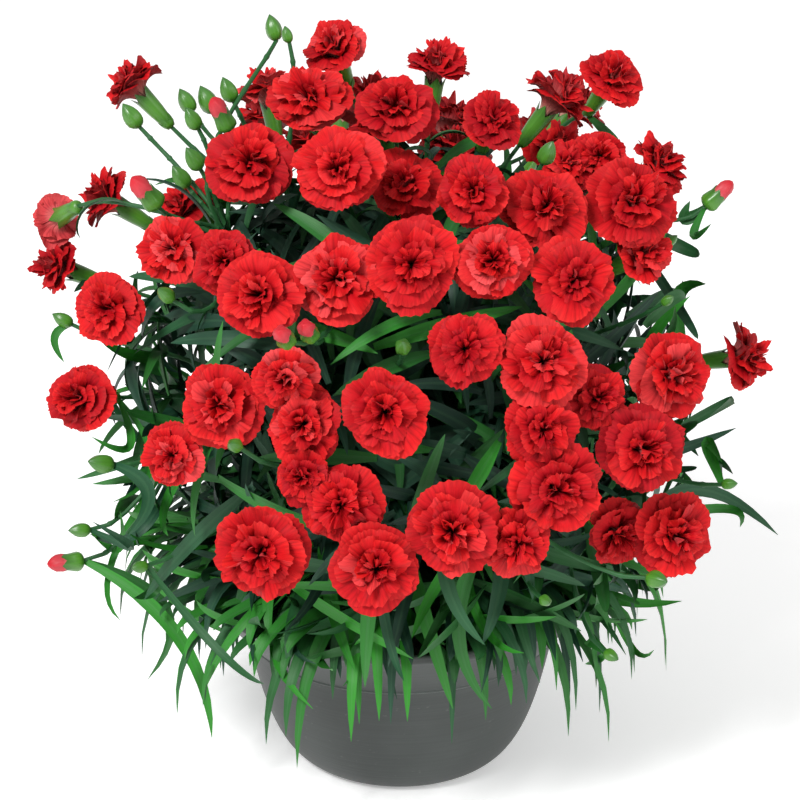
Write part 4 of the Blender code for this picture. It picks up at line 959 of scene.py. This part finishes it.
def shell_rule(k, of, attempt, draw, stems):
    """A leaf that lies along the bush's surface, its broad side out, bowed outwards and drooping."""
    height, turn = SHELL_TOP - SHELL_FALL * (k + 0.5) / of, k * GOLDEN_TURN + sway_in(draw, 0.1)
    flat = math.sqrt(1 - height**2)
    out = np.array([flat * math.cos(turn), flat * math.sin(turn), height])
    normal = unit(out / DOME_RADII + np.array([sway_in(draw, 2) for _ in range(3)]))
    spot = DOME_CENTRE + out * DOME_RADII * span(draw, SHELL_LEAF, "depth")
    way = np.array([sway_in(draw, 1), sway_in(draw, 1), span(draw, SHELL_LEAF, "rise")])
    way = unit(unit(way - normal * (way @ normal)) + normal * draw.uniform(0.0, 0.5))
    length, bow, droop = (span(draw, SHELL_LEAF, name) * MM for name in ("length", "bow", "droop"))
    share = np.linspace(0, 1, LEAF_STATIONS)[:, None]
    line = spot + way * share * length * (1 - 0.05 * attempt)
    line = line + normal * (bow * 4 * share * (1 - share)) - UP * droop * share**2
    ways = units(np.gradient(line, axis=0))
    return span(draw, SHELL_LEAF, "width") * MM, (line, ways, units(np.cross(normal, ways)))


def extra_leaves(blooms, stems):
    """The leaves that only the scene has, inside the leafy outline of the photograph."""
    rules = ("pair", pair_rule, PAIR_LEAVES), ("heart", heart_rule, HEART_LEAVES)
    rules += ("hanging", hanging_rule, HANGING_LEAVES), ("shell", shell_rule, SHELL_LEAVES)
    return [*ruled_leaves(rules, FIT_TRIES, random.Random(LEAF_SEED + 7), blooms, stems, inside_view)]


def build_leaves(leaves, finish):
    """Pieces for the leaves: those at the edge and over the rim, those of the bush, those on the stems."""
    draw = np.random.default_rng(LEAF_SEED)
    for name, kinds in (
        ("leaves_outer", ("traced", "rim", "hanging")),
        ("leaves_bush", ("bush", "heart")),
        ("leaves_stem", ("stem", "pair", "shell")),
    ):
        chosen = [leaf for leaf in leaves if leaf[0] in kinds]
        middles = np.array([leaf[2][8] for leaf in chosen])
        outer = np.linalg.norm((middles - DOME_CENTRE) / DOME_RADII, axis=1)
        low = np.clip((0.17 - middles[:, 2]) / 0.08, 0, 1)
        # Leaves on the bush's outside, low down and in the outer piece get brighter tones. This is painted
        # light: those leaves are lit while the inner ones lie in shade. The rest of each tone is drawn at
        # random.
        bright = 0.30 * (outer > 0.85) + 0.30 * low + 0.10 * (name == "leaves_outer")
        tones = np.clip(draw.uniform(-0.15, 0.70, len(chosen)) + bright, 0, 1)
        add_piece(name, leaf_body(chosen, tones), finish, "bush", "leaf_green")


def swept(paths, radii, sides):
    """Closed tubes along paths of shape (tubes, points, 3) with radii of shape (tubes, points)."""
    n, count, _ = paths.shape
    ways = units(np.gradient(paths, axis=1))
    across = np.cross(paths[:, -1:] - paths[:, :1], ASKEW)
    across = units(across - ways * (across * ways).sum(-1, keepdims=True))
    other = np.cross(ways, across)
    turns = np.arange(sides) * TAU / sides
    ring = across[:, :, None] * np.cos(turns)[:, None] + other[:, :, None] * np.sin(turns)[:, None]
    points = paths[:, :, None] + ring * radii[:, :, None, None]
    first, last = np.arange(sides), (count - 1) * sides + np.arange(sides)
    fan = np.stack([np.zeros(sides - 2, int), np.arange(1, sides - 1), np.arange(2, sides)], -1)
    one = np.vstack([grid_faces(count, sides, closed=True), first[fan][:, ::-1], last[fan]])
    uv = np.stack(np.broadcast_arrays(turns[None] / TAU, np.linspace(0, 1, count)[:, None]), -1)
    return points.reshape(-1, 3), repeated(one, n, count * sides), np.tile(uv.reshape(-1, 2), (n, 1))


def build_stems(stems, buds, finish):
    """Stems as thin tubes along their cubic curves, a little thicker at each joint."""
    ends = np.array([*stems, *[bud[4] for bud in buds]])
    near = [at + step for at in STEM_JOINTS for step in (-JOINT_REACH, 0, JOINT_REACH)]
    t = np.sort(np.concatenate([np.linspace(0, 1, 12), near]))[None, :, None]
    paths, _ = cubic(np.moveaxis(ends, 1, 0)[:, :, None], t)
    bumps = sum(np.exp(-(((t[..., 0] - at) / JOINT_REACH * 1.2) ** 2)) for at in STEM_JOINTS)
    radii = STEM_RADIUS * (1 + 0.40 * bumps) * (1.1 - 0.15 * t[..., 0])
    body = swept(paths, np.broadcast_to(radii, paths.shape[:2]), STEM_SIDES)
    add_piece("stems", (*body, np.full(len(body[0]), STEM_TONE)), finish, "bush", "leaf_green")


def rings(heights, radii):
    """A closed body of rings round the Z axis: heights and radii are (rings, sides) arrays."""
    heights, radii = np.broadcast_arrays(heights, radii)
    count, sides = radii.shape
    turns = np.arange(sides) * TAU / sides
    points = np.stack([radii * np.cos(turns), radii * np.sin(turns), heights], -1).reshape(-1, 3)
    uv = np.stack([np.tile(turns / TAU, count), np.repeat(np.linspace(0, 1, count), sides)], -1)
    return points, grid_faces(count, sides, closed=True), uv


def cup(base, facing, heights, radii):
    """A body of rings round the axis that runs from base along facing."""
    points, faces, uv = rings(heights, radii)
    return points @ turned_to(facing).T + base, faces, uv


def column(values):
    """Values down a column, one for each ring of a body."""
    return np.array(values)[:, None]


def teeth_round(number):
    """A zigzag round a cup: 1 at each of its points and 0 between them."""
    return np.abs(((np.arange(CALYX_SIDES) * number / CALYX_SIDES) % 1) - 0.5) * 2


def calyx_cups(ends, facing):
    """A calyx: a ribbed tube that widens to five pointed teeth, and four small scales round its base."""
    point = teeth_round(CALYX_TEETH)
    level = 0 * point
    heights = [*(column(CALYX_HEIGHTS) + level), 1.0 + 0.26 * point, 0.98 + 0.24 * point]
    heights += [level + 0.9, level + 0.9]
    radii = [*(column(CALYX_RADII) + level), 1.0 + 0.24 * point, 0.92 + 0.24 * point, level + 0.75, level]
    rib = 1 + 0.03 * np.cos(np.arange(CALYX_SIDES) * TAU / CALYX_SIDES * 10)
    yield cup(ends[3], facing, np.array(heights) * CALYX_LENGTH, np.array(radii) * rib * CALYX_RADIUS)
    point = teeth_round(CALYX_SCALES)
    level = 0 * point
    heights = [level - 0.02, level - 0.02, level + 0.10, 0.12 + 0.22 * point, level + 0.10]
    radii = [level, level + 0.46, level + 0.74, 0.76 + 0.10 * point, level]
    yield cup(ends[3], facing, np.array(heights) * CALYX_LENGTH, np.array(radii) * CALYX_RADIUS)


def bud_cups(base, facing, length, opening):
    """A bud: a pointed body with five seams, open to teeth where red petals show, and those petals."""
    point, turns = teeth_round(CALYX_TEETH), np.arange(CALYX_SIDES) * TAU / CALYX_SIDES
    half = BUD_WIDTH / 2 * length
    share = column(BUD_HEIGHTS)
    radii = column(BUD_RADII) * (1 + 0.07 * np.cos(turns * CALYX_TEETH) * (share > 0.15))
    heights = share + 0 * turns
    petals = None
    if opening:
        heights = heights * 0.62 + 0.14 * point * np.clip((share - 0.5) * 4, 0, 1)
        radii = np.where(share > 0.5, np.maximum(radii, 0.86), radii)
        radii[-1] = 0
        lift = column(OPENING_HEIGHTS)
        folds = 1 + 0.13 * np.cos(turns * 4 + lift * 6)
        petals = cup(base, facing, lift * length + 0 * turns, column(OPENING_RADII) * folds * half)
    return cup(base, facing, heights * length, radii * half), petals


def build_calyxes(blooms, stems, buds, finish, red):
    """One piece of all calyxes and closed buds, and one of the petals that show at the opening buds."""
    green, tips = [], []
    for (_, facing, _), ends in zip(blooms, stems):
        green += calyx_cups(ends, facing)
    for base, facing, length, opening, _ in buds:
        body, petals = bud_cups(base, facing, length, opening)
        green.append(body)
        tips += [petals] if petals else []
    for name, bodies, mat, slot in (
        ("calyxes", green, finish, "leaf_green"),
        ("bud_petals", tips, red, "petal_red"),
    ):
        add_piece(name, joined(bodies), mat, "bush", slot)


def add_turned_piece(name, profile, wobble, finish, node, slot):
    """A closed turned piece: its profile starts and ends on the axis, and wobble lifts its points."""
    profile = np.asarray(profile)
    radii = np.repeat(profile[:, :1], wobble.shape[1], 1)
    add_piece(name, rings(profile[:, 1:] + wobble, radii), finish, node, slot, smooth=40)


def build_bowl(finish):
    """The bowl: a rounded wall, a small ledge, a flared collar and a rolled lip, and the same inside."""
    ledge = [(-0.8, -1.6), (1.2, -0.8), (2.2, 0.0), (1.8, 0.8)]
    ledge = [(BAND_RADIUS + out * MM, BAND_HEIGHT + up * MM) for out, up in ledge]
    low, high = np.array(ledge[-1]), np.array([RIM_RADIUS - 1.6 * MM, RIM_HEIGHT - 5.5 * MM])
    collar = [low + (high - low) * share for share in np.linspace(0.06, 1, 14)]
    middle = np.array([RIM_RADIUS - 1.6 * MM, RIM_HEIGHT - 1.6 * MM])
    lip = [(RIM_RADIUS - 0.4 * MM, RIM_HEIGHT - 4.6 * MM), (RIM_RADIUS, RIM_HEIGHT - 3.6 * MM)]
    turns = np.radians(np.arange(-10, 171, 30))
    lip += [middle + 1.6 * MM * np.array([math.cos(turn), math.sin(turn)]) for turn in turns]
    lip += [(RIM_RADIUS - WALL - 0.6 * MM, RIM_HEIGHT - 4 * MM)]
    inner = wall_curve(-WALL, 26)[::-1]
    inside = [(BAND_RADIUS - WALL + 1 * MM, BAND_HEIGHT + 2 * MM), *inner[inner[:, 1] > WALL]]
    outside = [(0, 0), (FOOT_RADIUS * 0.5, 0), *wall_curve(0, 26), *ledge, *collar]
    profile = [*outside, *lip, *inside, (FOOT_RADIUS - 2 * MM, WALL), (0, WALL)]
    flat = np.zeros((len(profile), BOWL_SIDES))
    add_turned_piece("bowl_shell", profile, flat, finish, "bowl", "bowl_grey")


def build_soil(finish):
    """The soil: a plug with a crumbly top, whose height is a sum of random lumps."""
    floor = WALL + FIT_GAP
    draw = np.random.default_rng(LEAF_SEED + 3)
    radii = np.linspace(0.0, 0.985, SOIL_RINGS)[::-1] * (bowl_radius(SOIL_HEIGHT) - 2 * WALL - FIT_GAP)
    side = [(0, floor), (FOOT_RADIUS - 4 * MM, floor), (66 * MM, 20 * MM)]
    side += [(BAND_RADIUS - WALL - 3 * MM, BAND_HEIGHT)]
    profile = np.array([*side, *[(r, SOIL_HEIGHT) for r in radii]])
    wobble = np.zeros((len(profile), SOIL_SIDES))
    clods = draw.normal(0, CLOD_HEIGHT, (SOIL_RINGS // 2, SOIL_SIDES // 4))
    crumbs = draw.normal(0, CRUMB_HEIGHT, (SOIL_RINGS, SOIL_SIDES))
    lumps = crumbs + np.repeat(np.repeat(clods, 2, 0), 4, 1)
    wobble[len(side) :] = np.clip(lumps, -LUMP_LIMIT, LUMP_LIMIT)
    wobble[-1] = wobble[-1].mean()
    add_turned_piece("soil_surface", profile, wobble, finish, "soil", "potting_soil")


def build_heart(finish):
    """The heart of the bush and the crown under it, seen only between the leaves, painted dark as shade."""
    low = CROWN_BOTTOM + 1 * MM
    profile = [(0, low), (CROWN_RADIUS, low), (CROWN_RADIUS, SOIL_HEIGHT)]
    profile += [(radius * 0.9, height) for radius, height in HEART_PROFILE] + [(0, HEART_TOP - 4 * MM)]
    draw = np.random.default_rng(LEAF_SEED + 4)
    wobble = np.zeros((len(profile), HEART_SIDES))
    wobble[3:-1] = draw.normal(0, HEART_LUMPS, (len(profile) - 4, HEART_SIDES))
    add_turned_piece("heart", profile, wobble, finish, "bush", "leaf_green")


def new_node(tree, kind, **values):
    """A node in a material, with its settings."""
    node = tree.nodes.new(kind)
    for name, value in values.items():
        setattr(node, name, value)
    return node


def plain_material(name, roughness, specular=0.5):
    """A material with its node tree and its shader."""
    mat = bpy.data.materials.new(name)
    mat.use_nodes = True
    shader = mat.node_tree.nodes["Principled BSDF"]
    shader.inputs["Roughness"].default_value = roughness
    shader.inputs["Specular IOR Level"].default_value = specular
    return mat, mat.node_tree, shader


def painted(mat, colour):
    """The material with colour as its base colour."""
    tree = mat.node_tree
    tree.links.new(colour, tree.nodes["Principled BSDF"].inputs["Base Color"])
    return mat


def ramp(tree, factor, stops):
    """A colour ramp: stops are (place, linear colour), or (place, grey)."""
    node = new_node(tree, "ShaderNodeValToRGB")
    elements = node.color_ramp.elements
    while len(elements) < len(stops):
        elements.new(0.5)
    for element, (place, colour) in zip(elements, stops):
        element.position = place
        element.color = (*np.broadcast_to(colour, 3), 1.0)
    tree.links.new(factor, node.inputs["Fac"])
    return node.outputs["Color"]


def feed(tree, socket, value):
    """Links a socket to another, or sets it to a number or a colour."""
    if isinstance(value, bpy.types.NodeSocket):
        tree.links.new(value, socket)
    else:
        socket.default_value = (*value, 1.0) if isinstance(value, tuple) else value


def mixed(tree, factor, first, second, blend="MIX"):
    """A colour mix: factor, first and second are sockets, or plain values."""
    node = new_node(tree, "ShaderNodeMix", data_type="RGBA", blend_type=blend)
    for socket, value in zip((node.inputs[0], *node.inputs[6:8]), (factor, first, second)):
        feed(tree, socket, value)
    return node.outputs[2]


def maths(tree, operation, first, second=0.0, clamp=False):
    """One calculation with two values, each a socket or a number."""
    node = new_node(tree, "ShaderNodeMath", operation=operation, use_clamp=clamp)
    for socket, value in zip(node.inputs, (first, second)):
        feed(tree, socket, value)
    return node.outputs[0]


def bumped(tree, shader, height, strength, distance):
    """Low relief from a height that changes over the surface."""
    bump = new_node(tree, "ShaderNodeBump")
    bump.inputs["Strength"].default_value = strength
    bump.inputs["Distance"].default_value = distance
    tree.links.new(height, bump.inputs["Height"])
    tree.links.new(bump.outputs["Normal"], shader.inputs["Normal"])


def streaks_group():
    """Noise drawn out along a petal or leaf: inputs Surface, Across and Along, output Streaks."""
    group = bpy.data.node_groups.new("Streaks", "ShaderNodeTree")
    group.interface.new_socket("Surface", in_out="INPUT", socket_type="NodeSocketVector")
    for name in ("Across", "Along"):
        group.interface.new_socket(name, in_out="INPUT", socket_type="NodeSocketFloat")
    group.interface.new_socket("Streaks", in_out="OUTPUT", socket_type="NodeSocketFloat")
    given, result = new_node(group, "NodeGroupInput"), new_node(group, "NodeGroupOutput")
    scale, noise = new_node(group, "ShaderNodeCombineXYZ"), new_node(group, "ShaderNodeTexNoise")
    stretch = new_node(group, "ShaderNodeVectorMath", operation="MULTIPLY")
    noise.inputs["Scale"].default_value = 1.0
    noise.inputs["Detail"].default_value = 3.0
    for source, out, target, into in (
        (given, "Across", scale, "X"),
        (given, "Along", scale, "Y"),
        (given, "Surface", stretch, 0),
        (scale, "Vector", stretch, 1),
        (stretch, "Vector", noise, "Vector"),
        (noise, "Fac", result, "Streaks"),
    ):
        group.links.new(source.outputs[out], target.inputs[into])
    return group


def surface_values(tree, streaks, across, along):
    """Sockets for a piece's own surface values: across it, along it, its tone, and the streaks on it."""
    uv = new_node(tree, "ShaderNodeUVMap", uv_map="surface").outputs["UV"]
    apart = new_node(tree, "ShaderNodeSeparateXYZ")
    tree.links.new(uv, apart.inputs[0])
    lines = new_node(tree, "ShaderNodeGroup", node_tree=streaks)
    lines.inputs["Across"].default_value = across
    lines.inputs["Along"].default_value = along
    tree.links.new(uv, lines.inputs["Surface"])
    tone = new_node(tree, "ShaderNodeAttribute", attribute_name="tone").outputs["Fac"]
    return apart.outputs["X"], apart.outputs["Y"], tone, lines.outputs["Streaks"]


def veined(tree, shader, colour, veins, stops, share, relief):
    """Base colour darkened along the veins, with the veins as low relief: returns the colour."""
    bumped(tree, shader, veins, 0.4, relief)
    return mixed(tree, share, colour, ramp(tree, veins, stops), "MULTIPLY")


def petal_finish(streaks):
    """Velvety red petals: pale throat, deep red further in as painted shade, brighter edge, fine veins, a
    paler underside that is partly painted sheen, and painted pink highlights.
    """
    mat, tree, shader = plain_material("Red petals", 0.62, 0.12)
    _, along, tone, veins = surface_values(tree, streaks, 26.0, 2.2)
    under = new_node(tree, "ShaderNodeAttribute", attribute_name="under").outputs["Fac"]
    # The face darkens from the edge towards the base: painted shade, as the inner part of each petal lies
    # deep in the bloom. The pale throat is the petal's own colour.
    stops = [(0.0, (0.42, 0.06, 0.06)), (0.30, (0.22, 0.002, 0.008)), (0.58, (0.42, 0.003, 0.007))]
    stops += [(0.88, (0.64, 0.008, 0.009)), (1.0, (0.74, 0.022, 0.018))]
    face = ramp(tree, along, stops)
    # The underside is paler: partly the petal's own paler back, partly a painted sheen where folds turn to
    # the light.
    stops = [(0.0, (0.74, 0.52, 0.38)), (0.30, (0.62, 0.17, 0.15)), (0.65, (0.60, 0.060, 0.066))]
    back = ramp(tree, along, [*stops, (1.0, (0.72, 0.075, 0.075))])
    colour = mixed(tree, under, face, back)
    deep = maths(tree, "MULTIPLY", maths(tree, "SUBTRACT", 1.0, tone), 0.70, clamp=True)
    colour = mixed(tree, deep, colour, (0.24, 0.001, 0.009))
    # Painted pink highlights on the petals with the highest tones, standing in for light on their folds.
    pink_highlight = ramp(tree, tone, [(0.76, 0.0), (0.96, 0.30)])
    colour = mixed(tree, pink_highlight, colour, (0.78, 0.17, 0.18))
    stops = [(0.32, (0.50, 0.36, 0.42)), (0.60, 1.0)]
    colour = veined(tree, shader, colour, veins, stops, 0.8, 0.6 * MM)
    return painted(mat, colour)


def opening_finish(streaks):
    """The rolled petals of an opening bud: pinkish red, nearly white where they leave the calyx."""
    mat, tree, shader = plain_material("Opening petals", 0.5, 0.3)
    _, along, _, veins = surface_values(tree, streaks, 14.0, 2.0)
    stops = [(0.10, (0.66, 0.40, 0.32)), (0.42, (0.52, 0.050, 0.065)), (0.80, (0.46, 0.012, 0.022))]
    shade = [(0.30, (0.80, 0.60, 0.62)), (0.66, 1.0)]
    colour = veined(tree, shader, ramp(tree, along, stops), veins, shade, 0.7, 0.4 * MM)
    return painted(mat, colour)


def leaf_finish(streaks):
    """Strap leaves: from bluish dark green to bright grass green by a tone that is partly painted light,
    with parallel veins and a pale midrib.
    """
    mat, tree, shader = plain_material("Green leaves", 0.50, 0.28)
    across, _, tone, veins = surface_values(tree, streaks, 20.0, 1.2)
    stops = [(0.0, (0.008, 0.034, 0.020)), (0.32, (0.014, 0.062, 0.032)), (0.60, (0.018, 0.110, 0.020))]
    base = ramp(tree, tone, [*stops, (1.0, (0.024, 0.210, 0.016))])
    shade = [(0.30, (0.70, 0.72, 0.72)), (0.66, 1.10)]
    colour = veined(tree, shader, base, veins, shade, 0.8, 0.4 * MM)
    middle = maths(tree, "ABSOLUTE", maths(tree, "SUBTRACT", across, 0.5))
    rib = maths(tree, "SUBTRACT", 1.0, maths(tree, "MULTIPLY", middle, 7.0), clamp=True)
    colour = mixed(tree, maths(tree, "MULTIPLY", rib, 0.16), colour, (0.08, 0.20, 0.09))
    return painted(mat, colour)


def calyx_finish(streaks):
    """Calyxes and buds: yellow-green, darker at base and tips, finely ribbed and a little glossy."""
    mat, tree, shader = plain_material("Green calyxes", 0.30, 0.45)
    _, along, _, ribs = surface_values(tree, streaks, 30.0, 1.0)
    stops = [(0.0, (0.030, 0.110, 0.022)), (0.40, (0.070, 0.230, 0.022)), (1.0, (0.030, 0.110, 0.026))]
    shade = [(0.30, (0.70, 0.72, 0.60)), (0.66, (1.08, 1.08, 1.0))]
    colour = veined(tree, shader, ramp(tree, along, stops), ribs, shade, 0.8, 0.4 * MM)
    return painted(mat, colour)


def object_noise(tree, scale, detail, stretch=(1.0, 1.0, 1.0)):
    """Noise fixed to a piece's own coordinates, drawn out by stretch."""
    place = new_node(tree, "ShaderNodeTexCoord")
    mapping = new_node(tree, "ShaderNodeMapping")
    mapping.inputs["Scale"].default_value = stretch
    tree.links.new(place.outputs["Object"], mapping.inputs["Vector"])
    noise = new_node(tree, "ShaderNodeTexNoise")
    noise.inputs["Scale"].default_value = scale
    noise.inputs["Detail"].default_value = detail
    tree.links.new(mapping.outputs["Vector"], noise.inputs["Vector"])
    return noise.outputs["Fac"]


def heart_finish():
    """The inside of the bush: nearly black greens that are painted shade."""
    mat, tree, _ = plain_material("Shaded heart", 0.9)
    noise = object_noise(tree, 120.0, 2.0)
    # Nearly black greens: painted shade deep inside the bush.
    colour = ramp(tree, noise, [(0.35, (0.006, 0.018, 0.010)), (0.7, (0.018, 0.050, 0.022))])
    return painted(mat, colour)


def soil_finish():
    """Potting soil: dark crumbs with paler fibres, rough all over."""
    mat, tree, shader = plain_material("Potting soil", 0.95)
    noise = object_noise(tree, 450.0, 6.0)
    stops = [(0.35, (0.010, 0.007, 0.005)), (0.55, (0.035, 0.022, 0.014)), (0.72, (0.11, 0.075, 0.045))]
    bumped(tree, shader, noise, 0.9, 2 * MM)
    return painted(mat, ramp(tree, noise, stops))


def highlight_band(tree, height, reach):
    """A mask for a painted highlight, strongest at a height on the bowl and gone at reach from it."""
    apart = new_node(tree, "ShaderNodeSeparateXYZ")
    tree.links.new(new_node(tree, "ShaderNodeTexCoord").outputs["Object"], apart.inputs[0])
    away = maths(tree, "ABSOLUTE", maths(tree, "SUBTRACT", apart.outputs["Z"], height))
    near = maths(tree, "SUBTRACT", 1.0, maths(tree, "DIVIDE", away, reach), clamp=True)
    return maths(tree, "MULTIPLY", near, 0.55)


def bowl_finish():
    """Weathered dark grey bowl: cloudy greys, faint marks round it, small pale scuffs, and painted
    highlights along the ledge and the rim.
    """
    mat, tree, shader = plain_material("Dark grey bowl", 0.5)
    cloud = object_noise(tree, 14.0, 5.0)
    lines = object_noise(tree, 1.0, 3.0, (20.0, 20.0, 900.0))
    scuffs = object_noise(tree, 1.0, 4.0, (260.0, 260.0, 420.0))
    grey = ramp(tree, cloud, [(0.32, (0.012, 0.017, 0.015)), (0.68, (0.036, 0.043, 0.040))])
    marks = ramp(tree, lines, [(0.3, 0.6), (0.7, 1.25)])
    colour = mixed(tree, 0.35, grey, marks, "MULTIPLY")
    pale = ramp(tree, scuffs, [(0.66, 0.0), (0.76, 0.5)])
    colour = mixed(tree, pale, colour, (0.09, 0.10, 0.09))
    # Lighter bands along the ledge and the rim: painted highlights where these edges catch the light.
    for height, reach in ((BAND_HEIGHT, 1.8 * MM), (RIM_HEIGHT, 2.5 * MM)):
        colour = mixed(tree, highlight_band(tree, height, reach), colour, (0.16, 0.18, 0.17))
    rough = maths(tree, "ADD", maths(tree, "MULTIPLY", cloud, 0.25), 0.38)
    tree.links.new(rough, shader.inputs["Roughness"])
    bumped(tree, shader, lines, 0.15, 0.6 * MM)
    return painted(mat, colour)


def build_studio():
    """A pale floor, soft white surroundings, a lamp from the upper left, a weaker one, and the camera."""
    mesh = bpy.data.meshes.new("floor")
    mesh.from_pydata([(-6, -6, 0), (6, -6, 0), (6, 6, 0), (-6, 6, 0)], [], [(0, 1, 2, 3)])
    mat, _, shader = plain_material("Pale floor", 0.9)
    shader.inputs["Base Color"].default_value = (0.95, 0.95, 0.95, 1)
    shader.inputs["Emission Color"].default_value = (1.0, 1.0, 1.0, 1)
    shader.inputs["Emission Strength"].default_value = FLOOR_GLOW
    mesh.materials.append(mat)
    floor = new_object("floor", mesh)
    world = bpy.data.worlds.new("Studio")
    world.use_nodes = True
    sky = world.node_tree.nodes["Background"]
    sky.inputs["Color"].default_value = (1.0, 1.0, 1.0, 1)
    sky.inputs["Strength"].default_value = SKY_LIGHT
    bpy.context.scene.world = world
    for name, place, size, power in LAMPS:
        lamp = bpy.data.lights.new(name, "AREA")
        lamp.size = size
        lamp.energy = power
        light = new_object(name, lamp)
        light.location = place
        light.rotation_euler = (Vector(LAMPS_AIM) - Vector(place)).to_track_quat("-Z", "Y").to_euler()
    camera = bpy.data.cameras.new("camera")
    camera.lens = VIEW_DISTANCE / (METRES_PER_PIXEL * 2 * PHOTO_MIDDLE) * camera.sensor_width
    camera.clip_end = 50
    view = new_object("camera", camera)
    view.location = EYE
    view.rotation_euler = (math.pi / 2 - VIEW_ELEVATION, 0, 0)
    bpy.context.scene.camera = view
    bpy.context.scene.view_settings.view_transform = "Standard"


def main():
    """The layout that the solids have too, then each piece with its finish, and the studio."""
    blooms = bloom_layout()
    stems = stem_layout(blooms)
    buds = bud_layout(blooms, stems)
    leaves = leaf_layout(blooms, stems, buds) + extra_leaves(blooms, stems)
    streaks = streaks_group()
    green = leaf_finish(streaks)
    build_blooms(blooms, petal_finish(streaks))
    build_leaves(leaves, green)
    build_stems(stems, buds, green)
    build_calyxes(blooms, stems, buds, calyx_finish(streaks), opening_finish(streaks))
    build_heart(heart_finish())
    build_bowl(bowl_finish())
    build_soil(soil_finish())
    build_studio()


main()
